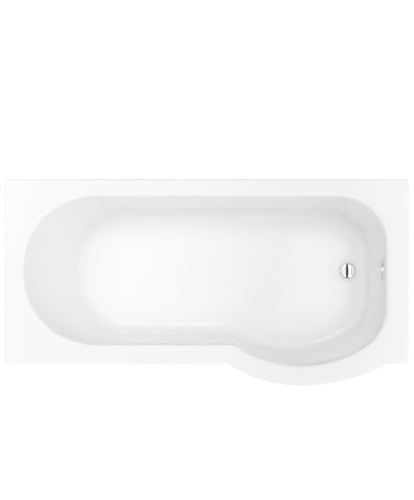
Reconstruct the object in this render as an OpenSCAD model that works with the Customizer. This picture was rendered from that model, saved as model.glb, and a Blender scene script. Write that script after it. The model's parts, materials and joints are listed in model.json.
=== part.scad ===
// P shaped shower bath: vacuum-formed acrylic shell with a glass-fibre backing, baseboard,
// rim battens, cross rails on five adjustable feet, click waste and overflow.
// +X points to the waste end, +Y to the wall side, +Z up. The origin is on the floor, under the
// middle of the rim's outer size.

/* [Rim outline] */
// Overall length of the rim
bath_l = 1675; // [1640:5:1720]
// Overall width over the shower bulge
bath_w = 856; // [846:2:870]
// Width of the straight, narrow part
narrow_w = 764; // [756:2:774]
// Distance from the waste end to the widest point of the bulge
bulge_from_end = 443; // [430:1:456]
// Radius of the bulge on the head side of its widest point
bulge_r_head = 567; // [550:1:590]
// Radius of the bulge on the waste side of its widest point
bulge_r_foot = 753; // [700:1:790]
// Radius that blends the bulge into the straight edge, head side
blend_r_head = 45; // [30:1:70]
// Radius that blends the bulge into the straight edge, waste side
blend_r_foot = 100; // [70:1:120]
// Radius of the rim's corners, seen from above
corner_r = 10; // [9:0.5:14]

/* [Rim section] */
// Height of the rim above the floor
rim_h = 560; // [545:1:590]
// Height of the rim's downturned edge
skirt_h = 40; // [32:1:44]
// Radius of the rim's outer top edge
edge_r = 6; // [5.5:0.5:8]
// Radius of the lip into the basin
lip_r = 14; // [11:0.5:16]
// Deck width along the wall side
deck_back = 57; // [54:1:62]
// Deck width along the straight front
deck_front = 69; // [65:1:74]
// Deck width at the head end
deck_head = 68; // [64:1:74]
// Deck width at the waste end
deck_foot = 84; // [80:1:90]
// Deck width round the bulge
deck_bulge = 72; // [68:1:76]

/* [Basin] */
// Depth from the rim to the floor at the waste
basin_depth = 395; // [380:1:405]
// Fall of the floor from the foot of the backrest to the waste
floor_fall = 6; // [3:0.5:8]
// Length of the rounded head end at the rim
head_run = 338; // [320:1:350]
// Squareness of the rounded head end, 2 is an ellipse
head_power = 2.15; // [2:0.05:2.4]
// Radius of the two corners at the waste end, at the rim
basin_corner_r = 214; // [205:1:220]
// Radius of the same corners at the floor
floor_corner_r = 150; // [140:1:160]
// Radius of the inward corner beside the bulge, at the rim
notch_r = 21; // [18:1:28]
// Radius of the same inward corner at the floor
floor_notch_r = 130; // [110:1:150]
// Inset of the floor from the rim at the backrest
inset_head = 255; // [240:1:265]
// Length of the rounded head end at the floor
floor_head_run = 188; // [180:1:200]
// Inset of the floor from the rim at the wall side
inset_back = 107; // [100:1:112]
// Inset of the floor from the rim at the straight front
inset_front = 95; // [88:1:100]
// Inset of the floor from the rim at the waste end
inset_foot = 65; // [62:1:66]
// Inset of the floor from the rim round the bulge
inset_bulge = 92; // [88:1:98]
// Distance that the basin's bulge lies nearer to the head end than the rim's
bulge_shift = 4; // [0:1:8]
// Radius between floor and backrest
fillet_head = 90; // [75:1:100]
// Radius between floor and long sides
fillet_side = 60; // [50:1:66]
// Radius between floor and the waste end
fillet_foot = 34; // [28:1:38]

/* [Walls] */
// Thickness of the acrylic shell
shell_t = 5; // [4:0.5:5]
// Thickness of the glass-fibre backing
grp_t = 3; // [2:0.5:3.5]
// Thickness of the baseboard
board_t = 18; // [15:1:22]
// Thickness of the resin skin round the baseboard
skin_t = 2; // [1.5:0.5:3]
// Margin of the baseboard inside the floor's edge
board_margin = 22; // [18:1:30]
// Leg of the clipped corners of the baseboard's head end
board_clip = 48; // [40:1:60]
// Distance from the bulge's widest point to the start of the board's round part
board_round_from = 190; // [180:1:200]
// Distance from the waste to the end of the baseboard
board_to_waste = 110; // [95:1:120]

/* [Rim battens] */
// Width of a batten
batten_w = 25; // [20:1:28]
// Height of a batten
batten_h = 35; // [34:1:40]
// Gap between the skirt and a batten
batten_gap = 3; // [2:0.5:4]

// Distance from an end batten to the rim's corner
batten_end = 30; // [26:1:40]
// Distance that the bulge batten stands in from the skirt, past the other battens
bulge_batten_in = 9; // [8:1:14]

/* [Rails and feet] */
// Width of a cross rail
rail_w = 40; // [36:1:46]
// Height of a cross rail
rail_h = 25; // [22:1:30]
// Sheet thickness of a cross rail
rail_t = 2.5; // [2:0.5:3]
// Overhang of a rail past its foot
rail_over = 25; // [20:1:30]
// Distance from the head end to the head rail
rail_head_from_end = 437; // [420:1:460]
// Distance from the waste to the foot rail
rail_to_waste = 165; // [155:1:185]
// Distance from the wall side to the back feet
foot_from_back = 93; // [88:1:100]
// Distance from the straight front edge to the head rail's front foot
foot_from_front = 91; // [84:1:96]
// Distance from the widest point of the bulge to the foot rail's front foot
foot_from_bulge = 98; // [92:1:104]
// Diameter of a foot's threaded rod
rod_d = 12; // [10:1:14]
// Diameter of a foot's pad
pad_d = 48; // [42:1:60]
// Height of a foot's pad
pad_h = 22; // [18:1:26]
// Height of a lock nut
nut_h = 10; // [8:0.5:11]
// Length of rod above a rail
rod_above = 17; // [14:1:20]
// Side of the middle foot's square plate
plate_w = 100; // [90:1:120]
// Thickness of the middle foot's plate
plate_t = 4; // [3:0.5:5]
// Length of the middle foot's threaded socket
socket_h = 40; // [38:1:44]
// Diameter of a wood screw
screw_d = 4.5; // [4:0.5:5]

/* [Wall brackets] */
// Width of a wall bracket
bracket_w = 60; // [50:1:80]
// Thickness of a wall bracket
bracket_t = 2.5; // [2:0.5:3]
// Height of a bracket's leg on the wall
bracket_h = 62; // [50:1:80]
// Distance between the two wall brackets
bracket_pitch = 900; // [700:10:1100]
// Diameter of a bracket's wall holes
bracket_hole_d = 7; // [5:0.5:8]
// Distance between a bracket's two wall holes
bracket_hole_pitch = 36; // [30:1:40]

/* [Waste] */
// Distance from the waste end to the middle of the waste
waste_from_end = 202.5; // [201:0.5:206]
// Diameter of the round recess in the floor
recess_d = 100; // [92:1:101]
// Depth of the round recess in the floor
recess_h = 3; // [2:0.5:4]
// Diameter of the waste hole
waste_hole_d = 52; // [50:0.5:54]
// Diameter of the waste's flange
flange_d = 73; // [70:0.5:76]
// Diameter of the click cap
cap_d = 62; // [60:0.5:63]
// Outside diameter of the waste's threaded tail
tail_d = 44; // [42:0.5:45]
// Outside diameter of the outlet's pipe thread
outlet_d = 47.8; // [46:0.1:49]
// Length of the outlet's pipe thread
outlet_l = 32; // [25:1:36]
// Diameter of the click cap's stem
stem_d = 8; // [7:0.5:9]
// Travel of the click cap
cap_travel = 9; // [6:0.5:10]

/* [Overflow] */
// Depth of the overflow's middle below the rim
overflow_drop = 75; // [70:1:85]
// Diameter of the overflow hole
overflow_hole_d = 42; // [38:1:44]
// Diameter of the overflow's face plate
cover_d = 72; // [68:1:76]
// Depth of the overflow's face plate
cover_h = 13; // [11:0.5:15]
// Distance of the hose's upright part behind the overflow's wall
hose_back = 31; // [30:1:36]
// Outside diameter of the hose over its ribs
hose_d = 30; // [28:0.5:31]
// Bore of the hose
hose_bore = 22; // [20:0.5:23]
// Depth of a rib of the hose
rib_h = 1.8; // [1.2:0.1:2]
// Distance between two ribs of the hose
rib_pitch = 5; // [4.5:0.1:6]
// Radius of the hose's bend
hose_bend_r = 60; // [55:1:66]

/* [Fits] */
// Radial running clearance of a rod in its nut and of the stem in its guide
run_gap = 0.05; // [0.02:0.01:0.1]
// Radial clearance of parts that are assembled once
fit_gap = 0.1; // [0.05:0.05:0.3]
// Clearance between parts that close on each other
seat_gap = 0.3; // [0.2:0.05:0.5]
/* [Hidden] */
$fn = 64;

// Steps along each stretch of the outlines, from the wall side round by the head end
steps_back = 8;
steps_head = 28;
steps_front = 6;
steps_notch = 4;
steps_bulge = 16;
steps_sweep = 10;
steps_foot = 4;
steps_corner = 9;
// Steps of the rim alone: beside the head end, along it, at its corners, and beside the waste end
steps_rim_side = 7;
steps_rim_head = 8;
steps_rim_corner = 3;
steps_rim_sweep = 3;
steps_rim_blend = 2;
steps_rim_foot = 3;
steps_edge = 3;
steps_lip = 4;
steps_wall = 3;
steps_fillet = 6;

// The rim's straight edges
x_head = -bath_l / 2;
x_foot = bath_l / 2;
y_back = bath_w / 2;
y_front = y_back - narrow_w;
y_apex = -bath_w / 2;
x_apex = x_foot - bulge_from_end;

// The waste's middle, on the middle line of the narrow basin
waste_x = x_foot - waste_from_end;
waste_y = (y_back - deck_back + y_front + deck_front) / 2;
floor_z = rim_h - basin_depth;
floor_slope = floor_fall / (waste_x - (x_head + deck_head + inset_head));
function floor_at(x) = floor_z + floor_slope * (waste_x - x);

// ---- Outlines: lists of [point, inward direction], anticlockwise seen from above ----

function dir(a) = [cos(a), sin(a)];
function angle_of(v) = atan2(v[1], v[0]);
function line_run(p, q, n, inward) = [for (k = [0 : n - 1]) [p + (q - p) * k / n, inward]];
// An arc whose middle is inside the outline has side -1, one with its middle outside has side 1
function arc_run(c, r, a, b, n, side) = [
    for (k = [0 : n - 1]) let (d = dir(a + (b - a) * k / n)) [c + r * d, side * d]
];
// Middle of the arc of radius rho that blends a circle into the straight line y, beside it
function blend_middle(c, r, y, rho, side) =
    [c[0] + side * sqrt(pow(r + rho, 2) - pow(y - rho - c[1], 2)), y - rho];

// Rounded head end: |x / a|^p + |y / b|^p = 1, from the wall side round to the front
function head_point(a, b, p, t) = [-a * pow(abs(cos(t)), 2 / p), b * sign(sin(t)) * pow(abs(sin(t)), 2 / p)];
function head_slope(a, b, p, v) =
    [pow(abs(v[0]) / a, p - 1) / a, -sign(v[1]) * pow(abs(v[1]) / b, p - 1) / b];
function head_turn(c, a, b, p, n) = [
    for (k = [0 : n - 1])
        let (v = head_point(a, b, p, 90 + 180 * k / n))
        [c + v, head_slope(a, b, p, v) / norm(head_slope(a, b, p, v))]
];

// Basin outline with its straight sides at x1 and y0, y1, bulge radius rb and corner radius rc
function basin_outline(x0, x1, y0, y1, run, rb, rc, rn) = let (
    cb = [x_apex - bulge_shift, y_apex + bulge_r_head],
    cn = [x1 - rc, y1 - rc],
    cs = [x1 - rc, cb[1] - sqrt(pow(rb - rc, 2) - pow(x1 - rc - cb[0], 2))],
    notch = blend_middle(cb, rb, y0, rn, -1),
    a_notch = angle_of(cb - notch),
    a_sweep = angle_of(cs - cb),
    ch = [x0 + run, (y0 + y1) / 2]
) concat(
    line_run([cn[0], y1], [ch[0], y1], steps_back, [0, -1]),
    head_turn(ch, run, (y1 - y0) / 2, head_power, steps_head),
    line_run([ch[0], y0], [notch[0], y0], steps_front, [0, 1]),
    arc_run(notch, rn, 90, a_notch, steps_notch, 1),
    arc_run(cb, rb, a_notch - 180, a_sweep, steps_bulge, -1),
    arc_run(cs, rc, a_sweep, 0, steps_sweep, -1),
    line_run([x1, cs[1]], [x1, cn[1]], steps_foot, [-1, 0]),
    arc_run(cn, rc, 0, 90, steps_corner, -1)
);

bulge_middle = [x_apex, y_apex + bulge_r_head];
foot_middle = [x_apex, y_apex + bulge_r_foot];
lip_bulge_r = bulge_r_head - deck_bulge;
floor_bulge_r = lip_bulge_r - inset_bulge;

lip = basin_outline(
    x_head + deck_head, x_foot - deck_foot, y_front + deck_front, y_back - deck_back,
    head_run, lip_bulge_r, basin_corner_r, notch_r
);
floor_edge = basin_outline(
    x_head + deck_head + inset_head, x_foot - deck_foot - inset_foot,
    y_front + deck_front + inset_front, y_back - deck_back - inset_back,
    floor_head_run, floor_bulge_r, floor_corner_r, floor_notch_r
);
POINTS = len(lip);

// Rim outline, with one point for each point of the basin
lip_foot_front = lip[steps_back + steps_head + steps_front + steps_notch + steps_bulge + steps_sweep][0];
lip_foot_back = lip[POINTS - steps_corner][0];
blend_head = blend_middle(bulge_middle, bulge_r_head, y_front, blend_r_head, -1);
blend_foot = blend_middle(foot_middle, bulge_r_foot, y_front, blend_r_foot, 1);
a_blend_head = angle_of(bulge_middle - blend_head);
a_blend_foot = angle_of(blend_foot - foot_middle);
// Share of the arc past the bulge's widest point that lies beside the basin's own bulge
sweep_share = 0.62;
a_sweep_start = -90 + sweep_share * (a_blend_foot + 90);
function corner_at(sx, sy, a, n) = arc_run(
    [sx < 0 ? x_head + corner_r : x_foot - corner_r, sy < 0 ? y_front + corner_r : y_back - corner_r],
    corner_r, a, a + 90, n, -1
);
rim = concat(
    line_run([lip[0][0][0], y_back], [lip[steps_back][0][0], y_back], steps_back, [0, -1]),
    line_run([lip[steps_back][0][0], y_back], [x_head + corner_r, y_back], steps_rim_side, [0, -1]),
    corner_at(-1, 1, 90, steps_rim_corner),
    line_run([x_head, y_back - corner_r], [x_head, y_front + corner_r], steps_rim_head, [1, 0]),
    corner_at(-1, -1, 180, steps_rim_corner),
    line_run([x_head + corner_r, y_front], [lip[steps_back][0][0], y_front], steps_rim_side, [0, 1]),
    line_run([lip[steps_back][0][0], y_front], [blend_head[0], y_front], steps_front, [0, 1]),
    arc_run(blend_head, blend_r_head, 90, a_blend_head, steps_notch, 1),
    arc_run(bulge_middle, bulge_r_head, a_blend_head - 180, -90, steps_bulge / 2, -1),
    arc_run(foot_middle, bulge_r_foot, -90, a_sweep_start, steps_bulge / 2, -1),
    arc_run(foot_middle, bulge_r_foot, a_sweep_start, a_blend_foot, steps_rim_sweep, -1),
    arc_run(blend_foot, blend_r_foot, a_blend_foot + 180, 90, steps_rim_blend, 1),
    line_run([blend_foot[0], y_front], [x_foot - corner_r, y_front], 1, [0, 1]),
    corner_at(1, -1, -90, steps_rim_blend),
    line_run([x_foot, y_front + corner_r], [x_foot, lip_foot_front[1]], steps_rim_blend, [-1, 0]),
    line_run([x_foot, lip_foot_front[1]], [x_foot, lip_foot_back[1]], steps_foot, [-1, 0]),
    line_run([x_foot, lip_foot_back[1]], [x_foot, y_back - corner_r], steps_rim_foot, [-1, 0]),
    corner_at(1, 1, 0, steps_rim_corner),
    line_run([x_foot - corner_r, y_back], [lip[0][0][0], y_back], steps_rim_foot, [0, -1])
);

// Radius between wall and floor at each point, changing smoothly from stretch to stretch
function ramp(a, b, n) = [for (k = [0 : n - 1]) a + (b - a) * k / n];
fillets = concat(
    ramp(fillet_side, fillet_side, steps_back),
    [for (k = [0 : steps_head - 1])
        fillet_side + (fillet_head - fillet_side) * pow(sin(180 * k / steps_head), 2)],
    ramp(fillet_side, fillet_side, steps_front + steps_notch),
    ramp(fillet_side, fillet_foot, steps_bulge + steps_sweep),
    ramp(fillet_foot, fillet_foot, steps_foot),
    ramp(fillet_foot, fillet_side, steps_corner)
);

// ---- Wall section: lip arc, straight wall and floor fillet over inset d and depth h ----

// Slope of the straight wall, measured from level
function wall_slope(d, h, r) = atan2(h - r, d) + asin(r / norm([d, h - r]));
// Points [inset, depth, slope] from the lip to the floor
function wall_section(d, h, ra, rb) = let (
    s = wall_slope(d, h, ra + rb),
    top = [ra * sin(s), ra * (1 - cos(s))],
    foot = [d - rb * sin(s), h - rb * (1 - cos(s))]
) concat(
    [for (k = [0 : steps_lip]) let (a = s * k / steps_lip) [ra * sin(a), ra * (1 - cos(a)), a]],
    [for (k = [1 : steps_wall - 1]) let (q = top + (foot - top) * k / steps_wall) [q[0], q[1], s]],
    [for (k = [0 : steps_fillet]) let (a = s * (1 - k / steps_fillet))
        [d - rb * sin(a), h - rb * (1 - cos(a)), a]]
);

// Each point's own section: a list of [place, direction square to the surface]
function section_at(i) = let (
    a = lip[i][0],
    b = floor_edge[i][0],
    inward = lip[i][1],
    d = (b - a) * inward,
    z = floor_at(b[0]),
    section = wall_section(d, rim_h - z, lip_r, fillets[i])
) [for (q = section) let (p = a + (b - a) * q[0] / d)
    [[p[0], p[1], rim_h - q[1]], [inward[0] * sin(q[2]), inward[1] * sin(q[2]), cos(q[2])]]];
sections = [for (i = [0 : POINTS - 1]) section_at(i)];
BASIN_RINGS = len(sections[0]);

// Rings of the outer edge, from the skirt's foot to the deck
function edge_ring(r, z, a) = [for (q = rim) [
    [q[0][0] + q[1][0] * r, q[0][1] + q[1][1] * r, z],
    [-q[1][0] * cos(a), -q[1][1] * cos(a), sin(a)]
]];
edge_rings = concat(
    [edge_ring(0, rim_h - skirt_h, 0)],
    [for (k = [0 : steps_edge]) let (a = 90 * k / steps_edge)
        edge_ring(edge_r * (1 - cos(a)), rim_h - edge_r * (1 - sin(a)), a)]
);
basin_rings = [for (j = [0 : BASIN_RINGS - 1]) [for (i = [0 : POINTS - 1]) sections[i][j]]];

// ---- Solids between a face of rings and the same face set back ----

function set_back(rings, t) = [for (ring = rings) [for (q = ring) q[0] - t * q[1]]];
function band(a, b, n, flip) = [for (i = [0 : n - 1]) let (j = (i + 1) % n)
    each flip
        ? [[a + i, b + i, a + j], [a + j, b + i, b + j]]
        : [[a + i, a + j, b + i], [a + j, b + j, b + i]]];
// A point of the floor that sees all of its edge
floor_middle = [x_apex - board_round_from, waste_y, floor_at(x_apex - board_round_from)];
// A sheet with its front face set back by t0 and its rear face by t1, closed at the floor
module pan(rings, t0, t1) {
    n = len(rings[0]);
    m = len(rings);
    front = [for (ring = set_back(rings, t0)) each ring];
    rear = [for (ring = set_back(rings, t1)) each ring];
    polyhedron(
        points = concat(front, rear, [floor_middle - [0, 0, t0], floor_middle - [0, 0, t1]]),
        faces = concat(
            [for (j = [0 : m - 2]) each band(j * n, (j + 1) * n, n, true)],
            [for (j = [0 : m - 2]) each band((m + j) * n, (m + j + 1) * n, n, false)],
            band(0, m * n, n, false),
            [for (i = [0 : n - 1]) [(m - 1) * n + i, 2 * m * n, (m - 1) * n + (i + 1) % n]],
            [for (i = [0 : n - 1]) [(2 * m - 1) * n + (i + 1) % n, 2 * m * n + 1, (2 * m - 1) * n + i]]
        ),
        convexity = 8
    );
}

// ---- Shared small shapes ----

module ring(outer_d, inner_d, h) {
    difference() {
        cylinder(d = outer_d, h = h);
        translate([0, 0, -1])
            cylinder(d = inner_d, h = h + 2);
    }
}
module box_at(x, y, z) {
    translate([x[0], y[0], z[0]])
        cube([x[1] - x[0], y[1] - y[0], z[1] - z[0]]);
}
// Hexagon nut of height h for a rod, with a running bore
module nut(h) {
    difference() {
        cylinder(d = 1.73 * rod_d, h = h, $fn = 6);
        translate([0, 0, -1])
            cylinder(d = rod_d + 2 * run_gap, h = h + 2);
    }
}
// Pan-head screw with its head below z = 0 and its shank upwards
module screw_up(d, l) {
    cylinder(d = d, h = l);
    translate([0, 0, -0.55 * d])
        cylinder(d = 2 * d, h = 0.55 * d);
}

// ---- Heights below the basin ----

boss_d = recess_d + 12;
boss_z = floor_z - recess_h - shell_t;
bed_gap = 0.5;
board_top = boss_z - grp_t - bed_gap + recess_h;
board_z = board_top - board_t;
rail_top = board_z - skin_t;
rail_z = rail_top - rail_h;
batten_top = rim_h - shell_t - grp_t;
batten_z = batten_top - batten_h;
rim_inner = shell_t + batten_gap;

// ---- Shell and backing ----

waste_at = [waste_x, waste_y, floor_z];
// The end wall's slope, and the overflow's middle on the wall's face
foot_slope = wall_slope(inset_foot, rim_h - floor_at(x_foot - deck_foot - inset_foot), lip_r + fillet_foot);
overflow_x = x_foot - deck_foot - lip_r * sin(foot_slope)
    - (overflow_drop - lip_r * (1 - cos(foot_slope))) / tan(foot_slope);
overflow_at = [overflow_x, waste_y, rim_h - overflow_drop];
// Local +z points squarely out of the end wall, into the basin
module on_end_wall() {
    translate(overflow_at)
        rotate([0, -foot_slope, 0])
            children();
}

module bath_shell() color("white") difference() {
    union() {
        pan(concat(edge_rings, basin_rings), 0, shell_t);
        translate([waste_x, waste_y, boss_z])
            cylinder(d = boss_d, h = recess_h + 1);
    }
    translate(waste_at - [0, 0, recess_h])
        cylinder(d = recess_d, h = recess_h + 10);
    translate([waste_x, waste_y, boss_z - 1])
        cylinder(d = waste_hole_d, h = shell_t + recess_h + 10);
    on_end_wall() translate([0, 0, -3 * shell_t])
        cylinder(d = overflow_hole_d, h = 5 * shell_t);
}

module grp_backing() color("tan") difference() {
    pan(concat([deck_ring(edge_r + rim_inner)], basin_rings), shell_t, shell_t + grp_t);
    translate([waste_x, waste_y, boss_z - 10])
        cylinder(d = boss_d + 2 * fit_gap, h = 30);
    on_end_wall() translate([0, 0, -4 * shell_t])
        cylinder(d = overflow_hole_d, h = 5 * shell_t);
}
// A ring on the deck, set in from the rim by t
function deck_ring(t) = [for (i = [0 : POINTS - 1]) let (
    a = lip[i][0],
    b = rim[i][0],
    s = 1 - t / max(t + 1, min(norm(a - b), abs((a - b) * rim[i][1])))
) [[a[0] + (b[0] - a[0]) * s, a[1] + (b[1] - a[1]) * s, rim_h], [0, 0, 1]]];

// ---- Baseboard: a straight part and a round part under the bulge ----

board_head_in = 25;
board_bulge_overlap = 60;
board_x0 = x_head + deck_head + inset_head + board_margin + board_head_in;
board_x1 = waste_x - board_to_waste;
board_y0 = y_front + deck_front + inset_front + board_margin;
board_y1 = y_back - deck_back - inset_back - board_margin;
module board_shape(grow, z0, z1) {
    clip = board_clip + grow * (2 - sqrt(2));
    translate([0, 0, z0]) linear_extrude(z1 - z0)
        polygon([[board_x0 - grow + clip, board_y0 - grow], [board_x1 + grow, board_y0 - grow],
            [board_x1 + grow, board_y1 + grow], [board_x0 - grow + clip, board_y1 + grow],
            [board_x0 - grow, board_y1 + grow - clip], [board_x0 - grow, board_y0 - grow + clip]]);
    intersection() {
        translate([bulge_middle[0] - bulge_shift, bulge_middle[1], z0])
            cylinder(r = floor_bulge_r - board_margin + grow, h = z1 - z0);
        box_at([x_apex - board_round_from - grow, board_x1 + grow], [y_apex, board_y0 + board_bulge_overlap], [z0, z1]);
    }
}
module baseboard() color("burlywood") difference() {
    board_shape(0, board_z, board_top);
    screw_holes(board_z, screw_depth);
}
module board_encapsulation() color("wheat") difference() {
    board_shape(skin_t, rail_top, floor_z + floor_fall);
    // The basin floor's sloping underside
    translate([waste_x, 0, boss_z + recess_h - grp_t - seat_gap / 3])
        rotate([0, atan(floor_slope), 0])
            translate([-bath_l, -bath_w, 0])
                cube([2 * bath_l, 2 * bath_w, 100]);
    board_shape(fit_gap / 10, board_z - fit_gap / 10, board_top + fit_gap / 10);
    screw_holes(rail_top - 1, 10);
}

// ---- Rim battens, under the backing on the deck ----

y_back_in = y_back - rim_inner;
y_front_in = y_front + rim_inner;
batten_bulge_gap = 40;
// Angles at which the bulge batten starts and ends, either side of the widest point
batten_bulge_start = -112;
batten_bulge_end = -72;
module batten_back() color("burlywood") difference() {
    box_at([x_head + batten_end + batten_w + rim_inner, x_foot - batten_end - batten_w - rim_inner],
        [y_back_in - batten_w, y_back_in], [batten_z, batten_top]);
    bracket_screw_places() translate([0, 0, -1])
        cylinder(d = screw_d + fit_gap, h = screw_depth + 2);
}
module batten_front() color("burlywood")
    box_at([x_head + batten_end + batten_w + rim_inner, blend_head[0] - batten_bulge_gap],
        [y_front_in, y_front_in + batten_w], [batten_z, batten_top]);
module batten_head() color("burlywood")
    box_at([x_head + rim_inner, x_head + rim_inner + batten_w],
        [y_front_in + batten_end, y_back_in - batten_end], [batten_z, batten_top]);
module batten_foot() color("burlywood")
    box_at([x_foot - rim_inner - batten_w, x_foot - rim_inner],
        [y_front_in + batten_end, y_back_in - batten_end], [batten_z, batten_top]);
// Curved batten under the bulge
module batten_bulge() color("burlywood") intersection() {
    translate([bulge_middle[0], bulge_middle[1], batten_z]) difference() {
        cylinder(r = bulge_r_head - rim_inner - bulge_batten_in, h = batten_h, $fn = 128);
        translate([0, 0, -1])
            cylinder(r = bulge_r_head - rim_inner - bulge_batten_in - batten_w, h = batten_h + 2, $fn = 128);
    }
    translate([bulge_middle[0], bulge_middle[1], batten_z])
        linear_extrude(batten_h)
            polygon([[0, 0], for (a = [batten_bulge_start, -90, batten_bulge_end]) 2 * bulge_r_head * dir(a)]);
}

// ---- Cross rails and feet ----

rail_x_head = x_head + rail_head_from_end;
rail_x_foot = waste_x - rail_to_waste;
foot_y_back = y_back - foot_from_back;
foot_y_head = y_front + foot_from_front;
foot_y_bulge = y_apex + foot_from_bulge;
centre_at = [(rail_x_head + rail_x_foot) / 2, (board_y0 + board_y1) / 2];
FEET = [
    [rail_x_head, foot_y_back], [rail_x_head, foot_y_head],
    [rail_x_foot, foot_y_back], [rail_x_foot, foot_y_bulge]
];
screw_depth = 14;
rail_screw_x = [-rail_w / 4, rail_w / 4];
rail_screw_y = [board_y0 + 40, board_y1 - 40];
plate_screw_at = plate_w / 2 - 12;

// Inverted channel from y0 to y1 with the feet's holes near its ends
module rail(x, y0, y1) difference() {
    box_at([x - rail_w / 2, x + rail_w / 2], [y0 - rail_over, y1 + rail_over], [rail_z, rail_top]);
    box_at([x - rail_w / 2 + rail_t, x + rail_w / 2 - rail_t],
        [y0 - rail_over - 1, y1 + rail_over + 1], [rail_z - 1, rail_top - rail_t]);
    for (y = [y0, y1])
        translate([x, y, rail_top - rail_t - 1])
            cylinder(d = rod_d + 1, h = rail_t + 2);
    for (dx = rail_screw_x, y = rail_screw_y)
        translate([x + dx, y, rail_top - rail_t - 1])
            cylinder(d = screw_d + fit_gap, h = rail_t + 2);
}
module rail_head() color("silver") rail(rail_x_head, foot_y_head, foot_y_back);
module rail_foot() color("silver") rail(rail_x_foot, foot_y_bulge, foot_y_back);
module rail_screw_places()
    for (x = [rail_x_head, rail_x_foot], dx = rail_screw_x, y = rail_screw_y)
        translate([x + dx, y, rail_top - rail_t])
            children();
module plate_screw_places()
    for (sx = [-1, 1], sy = [-1, 1])
        translate([centre_at[0] + sx * plate_screw_at, centre_at[1] + sy * plate_screw_at, rail_top - plate_t])
            children();
module rail_screws() color("silver") rail_screw_places() screw_up(screw_d, screw_depth);
module centre_plate_screws() color("silver") plate_screw_places() screw_up(screw_d, screw_depth);
module screw_holes(z, h) {
    rail_screw_places() translate([0, 0, z - rail_top])
        cylinder(d = screw_d + fit_gap, h = h + rail_t);
    plate_screw_places() translate([0, 0, z - rail_top])
        cylinder(d = screw_d + fit_gap, h = h + plate_t);
}
module centre_plate() color("silver") translate([centre_at[0], centre_at[1], rail_top - plate_t]) difference() {
    union() {
        translate([-plate_w / 2, -plate_w / 2, 0])
            cube([plate_w, plate_w, plate_t]);
        translate([0, 0, -socket_h])
            cylinder(d = 2 * rod_d, h = socket_h + 1);
    }
    translate([0, 0, -socket_h - 1])
        cylinder(d = rod_d + 2 * run_gap, h = socket_h + plate_t - 1);
    for (sx = [-1, 1], sy = [-1, 1])
        translate([sx * plate_screw_at, sy * plate_screw_at, -1])
            cylinder(d = screw_d + fit_gap, h = plate_t + 2);
}

socket_z = 6;
rod_top = rail_top + rod_above;
centre_rod_top = rail_top - plate_t - socket_h / 2;
module foot_rod(at, top) color("silver")
    translate([at[0], at[1], socket_z])
        cylinder(d = rod_d, h = top - socket_z);
module foot_pad(at) color("dimgray")
    translate([at[0], at[1], 0]) difference() {
        rotate_extrude()
            polygon([[0, 0], [pad_d / 2 - 1, 0], [pad_d / 2, 1], [pad_d / 2, 5], [rod_d / 2 + 6, 9],
                [rod_d / 2 + 5, pad_h - 1], [rod_d / 2 + 4, pad_h], [0, pad_h]]);
        translate([0, 0, socket_z])
            cylinder(d = rod_d + fit_gap, h = pad_h);
    }
module foot_rod_head_back() foot_rod(FEET[0], rod_top);
module foot_rod_head_front() foot_rod(FEET[1], rod_top);
module foot_rod_waste_back() foot_rod(FEET[2], rod_top);
module foot_rod_waste_front() foot_rod(FEET[3], rod_top);
module foot_rod_centre() foot_rod(centre_at, centre_rod_top);
module foot_pad_head_back() foot_pad(FEET[0]);
module foot_pad_head_front() foot_pad(FEET[1]);
module foot_pad_waste_back() foot_pad(FEET[2]);
module foot_pad_waste_front() foot_pad(FEET[3]);
module foot_pad_centre() foot_pad(centre_at);
module lock_nuts_upper() color("silver")
    for (at = FEET)
        translate([at[0], at[1], rail_top])
            nut(nut_h);
module lock_nuts_lower() color("silver") {
    for (at = FEET)
        translate([at[0], at[1], rail_top - rail_t - nut_h])
            nut(nut_h);
    translate([centre_at[0], centre_at[1], rail_top - plate_t - socket_h - nut_h])
        nut(nut_h);
}

// ---- Wall brackets under the back batten, their wall legs in the plane of the rim's back ----

bracket_y0 = y_back_in - batten_w;
module bracket_places()
    for (s = [-1, 1])
        translate([s * bracket_pitch / 2, 0, 0])
            children();
module bracket_screw_places()
    bracket_places() for (s = [-1, 1])
        translate([s * bracket_w / 3.3, bracket_y0 + batten_w / 2, batten_z])
            children();
module wall_brackets() color("silver") bracket_places() difference() {
    union() {
        box_at([-bracket_w / 2, bracket_w / 2], [bracket_y0, y_back], [batten_z - bracket_t, batten_z]);
        box_at([-bracket_w / 2, bracket_w / 2], [y_back - bracket_t, y_back],
            [batten_z - bracket_h, batten_z]);
    }
    for (s = [-1, 1]) {
        translate([s * bracket_w / 3.3, bracket_y0 + batten_w / 2, batten_z - bracket_t - 1])
            cylinder(d = screw_d + fit_gap, h = bracket_t + 2);
        translate([s * bracket_hole_pitch / 2, y_back + 1, batten_z - bracket_h * 0.68])
            rotate([90, 0, 0])
                cylinder(d = bracket_hole_d, h = bracket_t + 2);
    }
}
module bracket_screws() color("silver")
    bracket_screw_places() translate([0, 0, -bracket_t])
        screw_up(screw_d, screw_depth);

// ---- Waste: heights are measured from the recess up and from the boss down ----

gasket_t = 2;
rear_gasket_t = 4;
flange_t = 4;
tail_wall = 3;
tail_l = 58;
bowl_d = cap_d + 1.6;
// Height of the flange's bowl floor, and of the cap's underside above it
bowl_floor = 0.9;
cap_gap = 2.3;
recess_z = floor_z - recess_h;
flange_z = recess_z + gasket_t;
tail_z = flange_z - tail_l;
flange_h = flange_t + 1;
cap_z = flange_z + bowl_floor + cap_gap;
body_top = boss_z - rear_gasket_t;
body_neck_z = tail_z - 2;
body_d = 60;
neck_l = 10;
inlet_z = body_top - 29;
inlet_l = 43;
inlet_bore = hose_bore;
// The stem's guide is twice as long as its travel
guide_l = 2 * cap_travel;
cartridge_h = 40;
module at_waste(z) translate([waste_x, waste_y, z]) children();

module waste_gasket_top() color("dimgray") at_waste(recess_z) ring(flange_d - 5, waste_hole_d - 2, gasket_t);
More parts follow.
